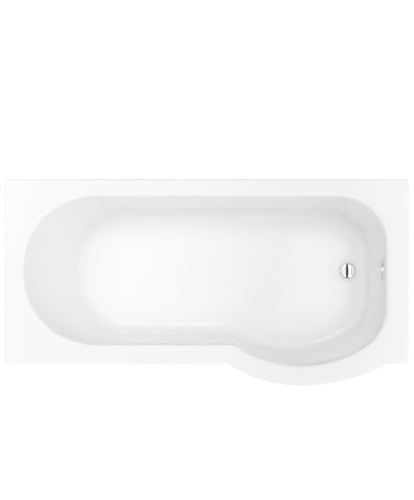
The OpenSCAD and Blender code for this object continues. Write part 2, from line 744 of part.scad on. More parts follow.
// The backing stands in line with the boss, and the rear gasket seals on both
module waste_gasket_bottom() color("dimgray") at_waste(body_top) ring(78, waste_hole_d + 1, rear_gasket_t);

module waste_flange() color("silver") at_waste(flange_z) difference() {
    union() {
        rotate_extrude()
            polygon([[tail_d / 2 - tail_wall, 0], [flange_d / 2 - 2.5, 0], [flange_d / 2, 1.2],
                [flange_d / 2 - 0.4, flange_h - 2.2], [flange_d / 2 - 2.5, flange_h - 0.4],
                [bowl_d / 2 + 0.9, flange_h], [bowl_d / 2, flange_h - 0.6], [bowl_d / 2 - 0.8, 1.4],
                [bowl_d / 2 - 7, bowl_floor], [tail_d / 2 - tail_wall, bowl_floor]]);
        translate([0, 0, -tail_l])
            ring(tail_d, tail_d - 2 * tail_wall, tail_l + 0.5);
        // Hub of the catch on three spokes
        translate([0, 0, -tail_l]) {
            cylinder(d = 24, h = 8);
            for (a = [0, 120, 240])
                rotate(a)
                    translate([0, -2, 0])
                        cube([tail_d / 2 - 1, 4, 8]);
        }
    }
    translate([0, 0, -tail_l - 1])
        cylinder(d = 18 + fit_gap, h = 12);
    // Windows that let the overflow's water in
    for (a = [0, 90])
        rotate(a)
            translate([-tail_d, -6, -tail_l + 18])
                cube([2 * tail_d, 12, 18]);
}
module click_cartridge() color("goldenrod") at_waste(tail_z) difference() {
    cylinder(d = 18, h = cartridge_h);
    translate([0, 0, -1])
        cylinder(d = stem_d + 2 * run_gap, h = cartridge_h + 2);
    translate([0, 0, guide_l])
        cylinder(d = 15, h = cartridge_h);
}
collar_z = tail_z + cartridge_h - 5;
module waste_plug() color("silver") {
    at_waste(cap_z) {
        rotate_extrude()
            polygon([[0, 0], [cap_d / 2 - 5, 0], [cap_d / 2 - 1, 0.9], [cap_d / 2, 1.9],
                [cap_d / 2 - 0.3, 3], [cap_d / 2 - 1.5, 3.8], [cap_d / 2 - 5, 4.5],
                [cap_d / 2 - 14, 5.6], [0, 6.4]]);
    }
    at_waste(tail_z + 1)
        cylinder(d = stem_d, h = cap_z - tail_z);
    at_waste(collar_z)
        cylinder(d = 14.4, h = 3);
}
module plug_seal() color("dimgray") at_waste(flange_z + bowl_floor + seat_gap)
    ring(cap_d - 14, cap_d - 21, cap_z - flange_z - bowl_floor - seat_gap);

module waste_body() color("gainsboro") difference() {
    union() {
        at_waste(body_top - 6)
            cylinder(d = 80, h = 6);
        at_waste(body_neck_z)
            cylinder(d = body_d, h = body_top - body_neck_z);
        at_waste(body_neck_z - outlet_l)
            cylinder(d = outlet_d, h = outlet_l + 1);
        at_waste(inlet_z) rotate([0, 90, 0])
            cylinder(d = hose_d, h = inlet_l);
    }
    at_waste(body_neck_z + neck_l)
        cylinder(d = body_d - 8, h = 80);
    at_waste(body_neck_z)
        cylinder(d = tail_d + 2 * fit_gap, h = 30);
    at_waste(body_neck_z - outlet_l - 1)
        cylinder(d = outlet_d - 9, h = outlet_l + 2);
    at_waste(inlet_z) rotate([0, 90, 0])
        cylinder(d = inlet_bore, h = inlet_l + 1);
}

// ---- Points of a tube's rings along a path, and a closed tube between two radii ----

function cross_frame(t, ref) = let (u = cross(ref, t) / norm(cross(ref, t))) [u, cross(t, u)];
function tube_ring(p, t, ref, r, n) = let (f = cross_frame(t, ref))
    [for (k = [0 : n - 1]) p + r * (cos(360 * k / n) * f[0] + sin(360 * k / n) * f[1])];

// Click spring: one wire wound in a helix with its ends lying flat
spring_r = 5.9;
spring_wire = 1.2;
spring_turns = 6;
spring_z0 = tail_z + guide_l + spring_wire / 2;
spring_z1 = collar_z - spring_wire / 2 - seat_gap;
SPRING_STEPS = 8 * spring_turns;
function spring_point(k) = [
    spring_r * cos(45 * k), spring_r * sin(45 * k), spring_z0 + (spring_z1 - spring_z0) * k / SPRING_STEPS
];
module click_spring() color("silver") translate([waste_x, waste_y, 0]) {
    rings = [for (k = [0 : SPRING_STEPS]) let (t = spring_point(k + 1) - spring_point(k - 1))
        tube_ring(spring_point(k), t / norm(t), [0, 0, 1], spring_wire / 2, 6)];
    n = 6;
    m = len(rings);
    polyhedron(points = [for (r = rings) each r], faces = concat(
        [for (j = [0 : m - 2]) each band(j * n, (j + 1) * n, n, false)],
        [for (k = [1 : n - 2]) [0, k + 1, k]],
        [for (k = [1 : n - 2]) [(m - 1) * n, (m - 1) * n + k, (m - 1) * n + k + 1]]
    ));
}
echo(least_gap_of_the_spring_to_itself = min([
    for (k = [0 : SPRING_STEPS - 5], j = [k + 5 : SPRING_STEPS]) norm(spring_point(k) - spring_point(j))
]) - spring_wire);

// ---- Overflow: local z is measured from the end wall's face ----

rear_z = -shell_t - grp_t;
ovf_gasket_t = 3;
chamber_d = 50;
chamber_l = 34;
chamber_front = rear_z - ovf_gasket_t;
post_d = 11;
module overflow_gasket() color("dimgray") on_end_wall()
    translate([0, 0, chamber_front])
        ring(chamber_d + 12, overflow_hole_d, ovf_gasket_t);
hose_x = overflow_x + hose_back;
hose_top = overflow_at[2] - 55;
module overflow_body() color("gainsboro") difference() {
    union() {
        on_end_wall() {
            translate([0, 0, chamber_front - 4])
                cylinder(d = chamber_d + 12, h = 4);
            translate([0, 0, chamber_front - chamber_l])
                cylinder(d = chamber_d, h = chamber_l - 1);
        }
        translate([hose_x, waste_y, hose_top])
            cylinder(d = hose_d, h = overflow_at[2] - hose_top);
    }
    on_end_wall() difference() {
        translate([0, 0, chamber_front - chamber_l + 4])
            cylinder(d = chamber_d - 8, h = chamber_l + 1);
        // Post that takes the centre screw
        translate([0, 0, chamber_front - chamber_l])
            cylinder(d = post_d, h = chamber_l - 1);
    }
    on_end_wall() translate([0, 0, chamber_front - chamber_l + 6])
        cylinder(d = cover_screw_d + fit_gap, h = chamber_l);
    translate([hose_x, waste_y, hose_top - 1])
        difference() {
            cylinder(d = hose_bore, h = 40);
            translate([-chamber_d, -chamber_d, 37])
                cube(2 * chamber_d);
        }
}
cover_screw_d = 5;
cover_wall = 2;
boss_r = 11;
module overflow_cover() color("silver") on_end_wall() difference() {
    union() {
        rotate_extrude()
            polygon([[0, cover_h - 4], [boss_r, cover_h - 4], [boss_r + 3, cover_h - 4 - cover_wall],
                [cover_d / 2 - 8, cover_h - 4.5 - cover_wall], [cover_d / 2 - cover_wall, cover_h / 2 - 2],
                [cover_d / 2 - cover_wall, 0.1], [cover_d / 2, 0.1], [cover_d / 2, cover_h / 2 - 1.5],
                [cover_d / 2 - 1.2, cover_h / 2 + 1], [cover_d / 2 - 7, cover_h - 3.6],
                [boss_r + 3.5, cover_h - 2.6], [boss_r, cover_h - 0.4], [boss_r - 2, cover_h], [0, cover_h]]);
        cylinder(d = post_d, h = cover_h - 2);
    }
    translate([0, 0, -1])
        cylinder(d = cover_screw_d + fit_gap, h = cover_h + 2);
    translate([0, 0, cover_h - 3])
        cylinder(d = 2 * cover_screw_d + fit_gap, h = 4);
    // Water slots in the rim, at the foot and at both sides
    for (a = [-25, 25, 0])
        rotate(a)
            translate([-cover_d / 2 - 1, -5, -1])
                cube([8, 10, 4.5]);
}
module overflow_screw() color("silver") on_end_wall() {
    translate([0, 0, chamber_front - chamber_l + 8])
        cylinder(d = cover_screw_d, h = cover_h - 3 - (chamber_front - chamber_l + 8));
    difference() {
        translate([0, 0, cover_h - 3])
            cylinder(d = 2 * cover_screw_d, h = 2.6);
        translate([0, 0, cover_h - 1.8])
            cylinder(d = 3.4, h = 3, $fn = 6);
    }
}

// ---- Overflow hose: down, round one bend, and level into the waste ----

hose_end_x = waste_x + inlet_l;
hose_low = inlet_z + hose_bend_r;
straight_down = hose_top - hose_low;
bend_l = hose_bend_r * PI / 2;
straight_in = hose_x - hose_bend_r - hose_end_x;
hose_l = straight_down + bend_l + straight_in;
cuff_l = hose_d;
// Place and direction at the distance s along the hose
function hose_at(s) =
    s < straight_down ? [[hose_x, waste_y, hose_top - s], [0, 0, -1]]
    : s < straight_down + bend_l ? let (a = 90 * (s - straight_down) / bend_l)
        [[hose_x - hose_bend_r * (1 - cos(a)), waste_y, hose_low - hose_bend_r * sin(a)],
            [-sin(a), 0, -cos(a)]]
    : [[hose_x - hose_bend_r - (s - straight_down - bend_l), waste_y, inlet_z], [-1, 0, 0]];
RIBS = floor((hose_l - 2 * cuff_l) / rib_pitch);
rib_step = (hose_l - 2 * cuff_l) / RIBS;
function hose_ring(s, r, n) = let (q = hose_at(s)) tube_ring(q[0], q[1], [0, 1, 0], r, n);
module overflow_hose() color("lightgray") {
    n = 8;
    outside = concat(
        [[0, hose_d / 2 - 0.2], [cuff_l - 0.5, hose_d / 2 - 0.2]],
        [for (k = [0 : RIBS - 1]) each [
            [cuff_l + k * rib_step, hose_d / 2 - rib_h],
            [cuff_l + (k + 0.5) * rib_step, hose_d / 2 - 0.2]]],
        [[hose_l - cuff_l, hose_d / 2 - rib_h], [hose_l - cuff_l + 0.5, hose_d / 2 - 0.2],
            [hose_l, hose_d / 2 - 0.2]]
    );
    inside = concat([hose_l, hose_l - cuff_l],
        [for (k = [9 : -1 : 1]) cuff_l + (hose_l - 2 * cuff_l) * k / 10], [cuff_l, 0]);
    rings = concat([for (q = outside) hose_ring(q[0], q[1], n)],
        [for (s = inside) hose_ring(s, hose_bore / 2, n)]);
    m = len(rings);
    polyhedron(points = [for (r = rings) each r],
        faces = [for (j = [0 : m - 1]) each band(j * n, ((j + 1) % m) * n, n, false)]);
}
echo(ribs = RIBS, least_gap_between_rib_crests = rib_step, hose_length = hose_l);

nut_l = 18;
nut_over = 6;
module hose_nut() difference() {
    union() {
        cylinder(d = hose_d + 9, h = nut_l);
        for (a = [0 : 30 : 330])
            rotate(a)
                translate([hose_d / 2 + 3.5, -1.2, 0])
                    cube([2.2, 2.4, nut_l]);
    }
    translate([0, 0, -1])
        cylinder(d = hose_d + 2 * fit_gap, h = nut_l + 2);
}
module hose_nuts() color("dimgray") {
    translate([hose_x, waste_y, hose_top - nut_l + nut_over])
        hose_nut();
    translate([hose_end_x - nut_over, waste_y, inlet_z])
        rotate([0, 90, 0])
            hose_nut();
}

bath_shell();
grp_backing();
baseboard();
board_encapsulation();
batten_back();
batten_front();
batten_bulge();
batten_head();
batten_foot();
rail_head();
rail_foot();
rail_screws();
centre_plate();
centre_plate_screws();
foot_rod_head_back();
foot_rod_head_front();
foot_rod_waste_back();
foot_rod_waste_front();
foot_rod_centre();
foot_pad_head_back();
foot_pad_head_front();
foot_pad_waste_back();
foot_pad_waste_front();
foot_pad_centre();
lock_nuts_upper();
lock_nuts_lower();
wall_brackets();
bracket_screws();
waste_gasket_top();
waste_flange();
waste_gasket_bottom();
waste_body();
waste_plug();
plug_seal();
click_cartridge();
click_spring();
overflow_cover();
overflow_screw();
overflow_gasket();
overflow_body();
overflow_hose();
hose_nuts();
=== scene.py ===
"""P shaped shower bath: the finish of every surface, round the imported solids.

The solids give every place and size. The bath is an acrylic sheet drawn into a mould, stiffened
behind with glass fibre, standing on steel rails and screwed feet, with a chrome waste and overflow.
All sizes here are in millimetres and are turned to metres where a mesh is made.
"""
import json
import math

import bmesh
import bpy
import numpy as np
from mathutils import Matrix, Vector, geometry


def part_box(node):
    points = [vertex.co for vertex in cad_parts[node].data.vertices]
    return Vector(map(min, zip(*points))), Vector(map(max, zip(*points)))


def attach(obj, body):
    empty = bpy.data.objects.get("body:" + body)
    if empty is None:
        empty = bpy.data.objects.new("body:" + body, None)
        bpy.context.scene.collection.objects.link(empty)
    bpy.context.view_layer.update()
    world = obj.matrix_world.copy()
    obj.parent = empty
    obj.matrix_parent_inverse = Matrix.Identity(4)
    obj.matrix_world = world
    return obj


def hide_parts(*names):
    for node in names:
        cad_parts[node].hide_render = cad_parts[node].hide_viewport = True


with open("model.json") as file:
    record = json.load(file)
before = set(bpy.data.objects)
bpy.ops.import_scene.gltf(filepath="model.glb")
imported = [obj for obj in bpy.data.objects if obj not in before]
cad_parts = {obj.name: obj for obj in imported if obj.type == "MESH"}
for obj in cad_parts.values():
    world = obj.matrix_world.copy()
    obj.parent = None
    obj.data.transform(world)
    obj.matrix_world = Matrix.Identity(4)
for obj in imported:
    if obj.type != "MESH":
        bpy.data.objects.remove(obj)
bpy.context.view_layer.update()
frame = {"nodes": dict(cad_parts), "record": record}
NODES = frame["nodes"]
RECORD = frame["record"]
SLOT_OF = {part["node"]: part["material_slot"] for part in RECORD["subparts"]}
BODY_OF = {node: body for body, nodes in RECORD["behaviour"]["bodies"].items() for node in nodes}
MM = 0.001
TAU = 2 * math.pi

# ---- driving sizes, as in the solids

BATH_L, BATH_W, NARROW_W = 1675, 856, 764
RIM_H, SKIRT_H, BASIN_DEPTH, FLOOR_FALL = 560, 40, 395, 6
BULGE_FROM_END, BULGE_R_HEAD, BULGE_R_FOOT, BULGE_SHIFT = 443, 567, 753, 4
BLEND_R_HEAD, BLEND_R_FOOT, CORNER_R, EDGE_R, LIP_R = 45, 100, 10, 6, 14
DECK_BACK, DECK_FRONT, DECK_HEAD, DECK_FOOT, DECK_BULGE = 57, 69, 68, 84, 72
HEAD_RUN, HEAD_POWER, BASIN_CORNER_R, NOTCH_R = 338, 2.15, 214, 21
FLOOR_HEAD_RUN, FLOOR_CORNER_R, FLOOR_NOTCH_R = 188, 150, 130
INSET_HEAD, INSET_BACK, INSET_FRONT, INSET_FOOT, INSET_BULGE = 255, 107, 95, 65, 92
FILLET_HEAD, FILLET_SIDE, FILLET_FOOT = 90, 60, 34
SHELL_T, GRP_T = 5, 3
WASTE_FROM_END, RECESS_D, RECESS_H, WASTE_HOLE_D = 202.5, 100, 3, 52
FLANGE_D, CAP_D, TAIL_D, TAIL_L, TAIL_WALL = 73, 62, 44, 58, 3
OUTLET_D, OUTLET_L, GASKET_T, REAR_GASKET_T = 47.8, 32, 2, 4
OVERFLOW_DROP, OVERFLOW_HOLE_D, COVER_D, COVER_H = 75, 42, 72, 13
BATTEN_GAP = 3
HOSE_BACK, HOSE_D, HOSE_BORE, RIB_H, RIB_PITCH, HOSE_BEND_R = 31, 30, 22, 1.8, 5, 60
HOSE_NUT_L, HOSE_NUT_OVER, ELBOW_DROP = 18, 6, 55
SCREW_D, SCREW_L, SCREW_PITCH = 4.5, 14, 1.9
HEAD_D, HEAD_H = 2 * SCREW_D, 0.55 * SCREW_D
ROD_D, ROD_PITCH, NUT_H, PAD_D, PAD_H, SOCKET_Z = 12, 1.75, 10, 48, 22, 6
RUN_GAP, FIT_GAP = 0.05, 0.1
PIPE_PITCH = 2.309  # 11 threads to the inch
BOWL_FLOOR, CAP_GAP, CAP_SEAL_IN, CAP_SEAL_W, REAR_GASKET_D = 0.9, 2.3, 7, 3.5, 78
BODY_RIM_D, BODY_D, BODY_WALL, NECK_L, INLET_DROP, INLET_L = 80, 60, 4, 10, 29, 43
STEM_D, COLLAR_D, COLLAR_H, CATCH_D, CATCH_BORE, CATCH_H, GUIDE_L = 8, 14.4, 3, 18, 15, 40, 18
HUB_D, HUB_H, SPOKE_W, WINDOW_W, WINDOW_FROM, WINDOW_TO = 24, 8, 4, 12, 18, 36
SPRING_R, WIRE_R, TURNS = 5.9, 0.6, 6
CHAMBER_D, CHAMBER_L, OVERFLOW_GASKET_T = 50, 34, 3
COVER_SCREW_D, COVER_WALL, COVER_BOSS_R, POST_D = 5, 2, 11, 11

X_HEAD, X_FOOT, Y_BACK, Y_APEX = -BATH_L / 2, BATH_L / 2, BATH_W / 2, -BATH_W / 2
Y_FRONT = Y_BACK - NARROW_W
X_APEX = X_FOOT - BULGE_FROM_END
WASTE_X = X_FOOT - WASTE_FROM_END
WASTE_Y = (Y_BACK - DECK_BACK + Y_FRONT + DECK_FRONT) / 2
FLOOR_Z = RIM_H - BASIN_DEPTH
TRIM_R = 1.2  # broken edge where the sheet is trimmed
ROUND = 144  # points round the waste
FLOOR_SLOPE = FLOOR_FALL / (WASTE_X - (X_HEAD + DECK_HEAD + INSET_HEAD))


def floor_at(x):
    """Height of the basin floor: a plane that falls towards the waste."""
    return FLOOR_Z + FLOOR_SLOPE * (WASTE_X - x)


# ---- outlines of rim, lip and floor


def line_run(p, q, n):
    """n points from p towards q, the end left out, with the direction inward, to the left of the way."""
    t = np.arange(n)[:, None] / n
    p, q = np.array(p, float), np.array(q, float)
    way = (q - p) / np.linalg.norm(q - p)
    return p + (q - p) * t, np.tile([-way[1], way[0]], (n, 1))


def arc_run(c, r, a, b, n, side):
    """n points on the arc of radius r round c from angle a to b in degrees; side -1 points inward."""
    t = np.radians(a + (b - a) * np.arange(n) / n)
    d = np.stack([np.cos(t), np.sin(t)], 1)
    return np.array(c, float) + r * d, side * d


def blend_middle(c, r, y, rho, side):
    """Middle of the arc of radius rho that joins the circle (c, r) to the line y, beside it."""
    return np.array([c[0] + side * math.sqrt((r + rho) ** 2 - (y - rho - c[1]) ** 2), y - rho])


def angle_of(v):
    """Direction of a plane vector in degrees."""
    return math.degrees(math.atan2(v[1], v[0]))


def head_turn(c, a, b, n):
    """Rounded head end: half of |x/a|^p + |y/b|^p = 1, with its inward normal from the slope."""
    t = np.radians(90 + 180 * np.arange(n) / n)
    x = -a * np.abs(np.cos(t)) ** (2 / HEAD_POWER)
    y = b * np.sign(np.sin(t)) * np.abs(np.sin(t)) ** (2 / HEAD_POWER)
    m = np.stack([(np.abs(x) / a) ** (HEAD_POWER - 1) / a,
                  -np.sign(y) * (np.abs(y) / b) ** (HEAD_POWER - 1) / b], 1)
    return np.array(c) + np.stack([x, y], 1), m / np.linalg.norm(m, axis=1, keepdims=True)


def joined(*runs):
    """Runs of points and directions, one after the other."""
    return np.concatenate([r[0] for r in runs]), np.concatenate([r[1] for r in runs])


# Steps along each stretch, from the wall side round by the head end: a multiple of the solids'
FINE = 6
STEPS = {k: v * FINE for k, v in dict(back=8, head=28, front=6, notch=4, bulge=16, sweep=10,
                                      foot=4, corner=9).items()}
BULGE_MIDDLE = np.array([X_APEX, Y_APEX + BULGE_R_HEAD], float)
FOOT_MIDDLE = np.array([X_APEX, Y_APEX + BULGE_R_FOOT], float)


def basin_outline(x0, x1, y0, y1, run, rb, rc, rn):
    """Outline of the basin: straight sides, superellipse head, bulge arc and two end corners."""
    cb = np.array([X_APEX - BULGE_SHIFT, Y_APEX + BULGE_R_HEAD], float)
    cn = np.array([x1 - rc, y1 - rc], float)
    cs = np.array([x1 - rc, cb[1] - math.sqrt((rb - rc) ** 2 - (x1 - rc - cb[0]) ** 2)])
    notch = blend_middle(cb, rb, y0, rn, -1)
    a_notch, a_sweep = angle_of(cb - notch), angle_of(cs - cb)
    ch = [x0 + run, (y0 + y1) / 2]
    return joined(
        line_run([cn[0], y1], [ch[0], y1], STEPS["back"]),
        head_turn(ch, run, (y1 - y0) / 2, STEPS["head"]),
        line_run([ch[0], y0], [notch[0], y0], STEPS["front"]),
        arc_run(notch, rn, 90, a_notch, STEPS["notch"], 1),
        arc_run(cb, rb, a_notch - 180, a_sweep, STEPS["bulge"], -1),
        arc_run(cs, rc, a_sweep, 0, STEPS["sweep"], -1),
        line_run([x1, cs[1]], [x1, cn[1]], STEPS["foot"]),
        arc_run(cn, rc, 0, 90, STEPS["corner"], -1),
    )


LIP_BULGE_R = BULGE_R_HEAD - DECK_BULGE
LIP, LIP_IN = basin_outline(X_HEAD + DECK_HEAD, X_FOOT - DECK_FOOT, Y_FRONT + DECK_FRONT,
                            Y_BACK - DECK_BACK, HEAD_RUN, LIP_BULGE_R, BASIN_CORNER_R, NOTCH_R)
FLOOR, _ = basin_outline(X_HEAD + DECK_HEAD + INSET_HEAD, X_FOOT - DECK_FOOT - INSET_FOOT,
                         Y_FRONT + DECK_FRONT + INSET_FRONT, Y_BACK - DECK_BACK - INSET_BACK,
                         FLOOR_HEAD_RUN, LIP_BULGE_R - INSET_BULGE, FLOOR_CORNER_R, FLOOR_NOTCH_R)


def corner_run(sx, sy, a, n):
    """One rounded corner of the rim."""
    c = [X_HEAD + CORNER_R if sx < 0 else X_FOOT - CORNER_R,
         Y_FRONT + CORNER_R if sy < 0 else Y_BACK - CORNER_R]
    return arc_run(c, CORNER_R, a, a + 90, n, -1)


# Share of the arc past the bulge's widest point that lies beside the basin's own bulge
SWEEP_SHARE = 0.62


def rim_outline():
    """Outline of the rim, with one point for each point of the basin's lip."""
    f = FINE
    start, end = LIP[0][0], LIP[STEPS["back"]][0]
    front_y = LIP[sum(STEPS[k] for k in ("back", "head", "front", "notch", "bulge", "sweep"))][1]
    back_y = LIP[len(LIP) - STEPS["corner"]][1]
    bh = blend_middle(BULGE_MIDDLE, BULGE_R_HEAD, Y_FRONT, BLEND_R_HEAD, -1)
    bf = blend_middle(FOOT_MIDDLE, BULGE_R_FOOT, Y_FRONT, BLEND_R_FOOT, 1)
    a_bh, a_bf = angle_of(BULGE_MIDDLE - bh), angle_of(bf - FOOT_MIDDLE)
    a_mid = -90 + SWEEP_SHARE * (a_bf + 90)
    return joined(
        line_run([start, Y_BACK], [end, Y_BACK], 8 * f),
        line_run([end, Y_BACK], [X_HEAD + CORNER_R, Y_BACK], 7 * f),
        corner_run(-1, 1, 90, 3 * f),
        line_run([X_HEAD, Y_BACK - CORNER_R], [X_HEAD, Y_FRONT + CORNER_R], 8 * f),
        corner_run(-1, -1, 180, 3 * f),
        line_run([X_HEAD + CORNER_R, Y_FRONT], [end, Y_FRONT], 7 * f),
        line_run([end, Y_FRONT], [bh[0], Y_FRONT], 6 * f),
        arc_run(bh, BLEND_R_HEAD, 90, a_bh, 4 * f, 1),
        arc_run(BULGE_MIDDLE, BULGE_R_HEAD, a_bh - 180, -90, 8 * f, -1),
        arc_run(FOOT_MIDDLE, BULGE_R_FOOT, -90, a_mid, 8 * f, -1),
        arc_run(FOOT_MIDDLE, BULGE_R_FOOT, a_mid, a_bf, 3 * f, -1),
        arc_run(bf, BLEND_R_FOOT, a_bf + 180, 90, 2 * f, 1),
        line_run([bf[0], Y_FRONT], [X_FOOT - CORNER_R, Y_FRONT], f),
        corner_run(1, -1, -90, 2 * f),
        line_run([X_FOOT, Y_FRONT + CORNER_R], [X_FOOT, front_y], 2 * f),
        line_run([X_FOOT, front_y], [X_FOOT, back_y], 4 * f),
        line_run([X_FOOT, back_y], [X_FOOT, Y_BACK - CORNER_R], 3 * f),
        corner_run(1, 1, 0, 3 * f),
        line_run([X_FOOT - CORNER_R, Y_BACK], [start, Y_BACK], 3 * f),
    )


RIM, RIM_IN = rim_outline()


def fillet_radii():
    """Radius between wall and floor at each point, changing smoothly from stretch to stretch."""
    def ramp(a, b, n):
        """n values from a towards b."""
        return a + (b - a) * np.arange(n) / n
    head = STEPS["head"]
    return np.concatenate([
        ramp(FILLET_SIDE, FILLET_SIDE, STEPS["back"]),
        FILLET_SIDE + (FILLET_HEAD - FILLET_SIDE) * np.sin(math.pi * np.arange(head) / head) ** 2,
        ramp(FILLET_SIDE, FILLET_SIDE, STEPS["front"] + STEPS["notch"]),
        ramp(FILLET_SIDE, FILLET_FOOT, STEPS["bulge"] + STEPS["sweep"]),
        ramp(FILLET_FOOT, FILLET_FOOT, STEPS["foot"]),
        ramp(FILLET_FOOT, FILLET_SIDE, STEPS["corner"]),
    ])


# ---- the formed sheet


def wall_slope(d, h, r):
    """Slope from level of the straight wall that joins a lip arc and a floor fillet."""
    return np.arctan2(h - r, d) + np.arcsin(r / np.hypot(d, h - r))


def basin_rings():
    """Rings from the lip to the floor: lip arc, straight wall, floor fillet, with their normals.

    At each point the wall's section is worked out for its own inset and depth, and the ring
    point lies on the line from the lip to the floor outline at the section's share of the inset.
    """
    inset = ((FLOOR - LIP) * LIP_IN).sum(1)
    depth = RIM_H - floor_at(FLOOR[:, 0])
    rf = fillet_radii()
    s = wall_slope(inset, depth, LIP_R + rf)
    top = LIP_R * np.sin(s), LIP_R * (1 - np.cos(s))
    foot = inset - rf * np.sin(s), depth - rf * (1 - np.cos(s))
    rows = [(LIP_R * np.sin(s * k), LIP_R * (1 - np.cos(s * k)), s * k) for k in np.linspace(0, 1, 13)]
    rows += [(top[0] + (foot[0] - top[0]) * k, top[1] + (foot[1] - top[1]) * k, s)
             for k in np.linspace(0, 1, 20)[1:-1]]
    rows += [(inset - rf * np.sin(s * k), depth - rf * (1 - np.cos(s * k)), s * k)
             for k in np.linspace(1, 0, 22)]
    points, normals = [], []
    for d, h, slope in rows:
        xy = LIP + (FLOOR - LIP) * (d / inset)[:, None]
        points.append(np.column_stack([xy, RIM_H - h]))
        normals.append(np.column_stack([LIP_IN * np.sin(slope)[:, None], np.cos(slope)]))
    return np.array(points), np.array(normals)


def edge_rings(t):
    """Rings up the downturned rim, t mm inside the sheet's face: trimmed foot, skirt, top edge arc."""
    foot, side = RIM_H - SKIRT_H, -1 if t else 1
    rows = [(t + side * TRIM_R * (1 - math.sin(a)), foot + TRIM_R * (1 - math.cos(a)))
            for a in np.linspace(0, math.pi / 2, 4)]
    rows += [(t, foot + SKIRT_H / 2)]
    rows += [(EDGE_R - (EDGE_R - t) * math.cos(a), RIM_H - EDGE_R + (EDGE_R - t) * math.sin(a))
             for a in np.linspace(0, math.pi / 2, 11)]
    return np.array([np.column_stack([RIM + RIM_IN * r, np.full(len(RIM), z)]) for r, z in rows])


def deck_rings(n, start, z):
    """n level rings at height z, from start mm inside the rim to just short of the lip."""
    a = RIM + RIM_IN * start
    return np.array([np.column_stack([a + (LIP - a) * k, np.full(len(a), float(z))])
                     for k in np.arange(1, n + 1) / (n + 1)])


# ---- mesh helpers


def grid_faces(rows, n, first=0, outward=True, loop=False):
    """Quads between rows rings of n points each; with loop the last ring joins the first.

    The order of the corners gives the side they face.
    """
    j, i = np.meshgrid(np.arange(rows if loop else rows - 1), np.arange(n), indexing="ij")
    k, h = (i + 1) % n, (j + 1) % rows
    a, b, c, d = (first + ring * n + point for ring, point in ((j, i), (j, k), (h, k), (h, i)))
    return np.stack([a, b, c, d] if outward else [a, d, c, b], -1).reshape(-1, 4)


WELD = 2e-6  # metres within which doubles merge
SLIVER_SIDES = 6  # a hole with no more sides than this is a sliver


def tidy_mesh(mesh):
    """Merges doubles, drops edges without a face, closes slivers and turns the faces outwards."""
    b = bmesh.new()
    b.from_mesh(mesh)
    bmesh.ops.remove_doubles(b, verts=b.verts, dist=WELD)
    bmesh.ops.dissolve_degenerate(b, edges=b.edges, dist=WELD / 2)
    bmesh.ops.delete(b, geom=[e for e in b.edges if not e.link_faces], context="EDGES")
    bmesh.ops.holes_fill(b, edges=[e for e in b.edges if e.is_boundary], sides=SLIVER_SIDES)
    bmesh.ops.recalc_face_normals(b, faces=b.faces)
    b.to_mesh(mesh)
    b.free()


def new_mesh(name, points, faces, smooth=True, weld=False):
    """A mesh object from points in millimetres and faces; weld merges doubles and turns normals out."""
    mesh = bpy.data.meshes.new(name)
    mesh.from_pydata((np.asarray(points) * MM).tolist(), [], [list(map(int, f)) for f in faces])
    mesh.update()
    if weld:
        tidy_mesh(mesh)
    mesh.polygons.foreach_set("use_smooth", np.full(len(mesh.polygons), smooth))
    obj = bpy.data.objects.new(name, mesh)
    bpy.context.scene.collection.objects.link(obj)
    return obj


def apply_modifiers(obj):
    """Replaces the mesh by the result of its modifiers."""
    bpy.context.view_layer.update()
    graph = bpy.context.evaluated_depsgraph_get()
    mesh = bpy.data.meshes.new_from_object(obj.evaluated_get(graph))
    obj.modifiers.clear()
    obj.data = mesh


def sharp_edges(obj, degrees=35):
    """Smooth faces, with edges over the angle left sharp."""
    obj.data.polygons.foreach_set("use_smooth", np.full(len(obj.data.polygons), True))
    b = bmesh.new()
    b.from_mesh(obj.data)
    limit = math.radians(degrees)
    for e in b.edges:
        e.smooth = len(e.link_faces) == 2 and e.calc_face_angle(0) < limit
    b.to_mesh(obj.data)
    b.free()


def flat_fill(outer, inner, first_outer, first_inner, up):
    """Triangles of a flat floor between an outline and a round hole in it, facing up or down."""
    n, m = len(outer), len(inner)
    edges = [(i, (i + 1) % n) for i in range(n)] + [(n + i, n + (i + 1) % m) for i in range(m)]
    found = geometry.delaunay_2d_cdt([Vector(p) for p in np.vstack([outer, inner])], edges, [], 1, 1e-6)
    xy = np.array([tuple(p) for p in found[0]])
    source = np.array([o[0] for o in found[3]])
    tris = np.array(found[2])
    # A triangle inside the hole has all its corners on the hole's edge
    tris = tris[(source[tris] < n).any(1)]
    u, v = xy[tris[:, 1]] - xy[tris[:, 0]], xy[tris[:, 2]] - xy[tris[:, 0]]
    wrong = (u[:, 0] * v[:, 1] > u[:, 1] * v[:, 0]) != up
    tris[wrong] = tris[wrong][:, ::-1]
    return np.where(source < n, first_outer + source, first_inner + source - n)[tris]


def circle(r):
    """ROUND points anticlockwise round the waste's middle, in plan."""
    t = TAU * np.arange(ROUND) / ROUND
    return np.stack([WASTE_X + r * np.cos(t), WASTE_Y + r * np.sin(t)], 1)


def boolean(obj, tool, how):
    """Joins (UNION) or cuts (DIFFERENCE) obj with another closed mesh, which is used up."""
    mod = obj.modifiers.new(how.lower(), "BOOLEAN")
    mod.operation = how
    mod.object = tool
    mod.solver = "EXACT"
    apply_modifiers(obj)
    bpy.data.objects.remove(tool)


def combined(obj, tool, how):
    """A join or cut with its result tidied."""
    boolean(obj, tool, how)
    tidy_mesh(obj.data)


def cut_round(obj, centre, direction, r, length):
    """Cuts a round hole of radius r through obj, along direction through centre."""
    bpy.ops.mesh.primitive_cylinder_add(vertices=96, radius=r * MM, depth=length * MM,
                                        location=[c * MM for c in centre])
    tool = bpy.context.object
    tool.rotation_euler = Vector(direction).to_track_quat("Z", "Y").to_euler()
    boolean(obj, tool, "DIFFERENCE")


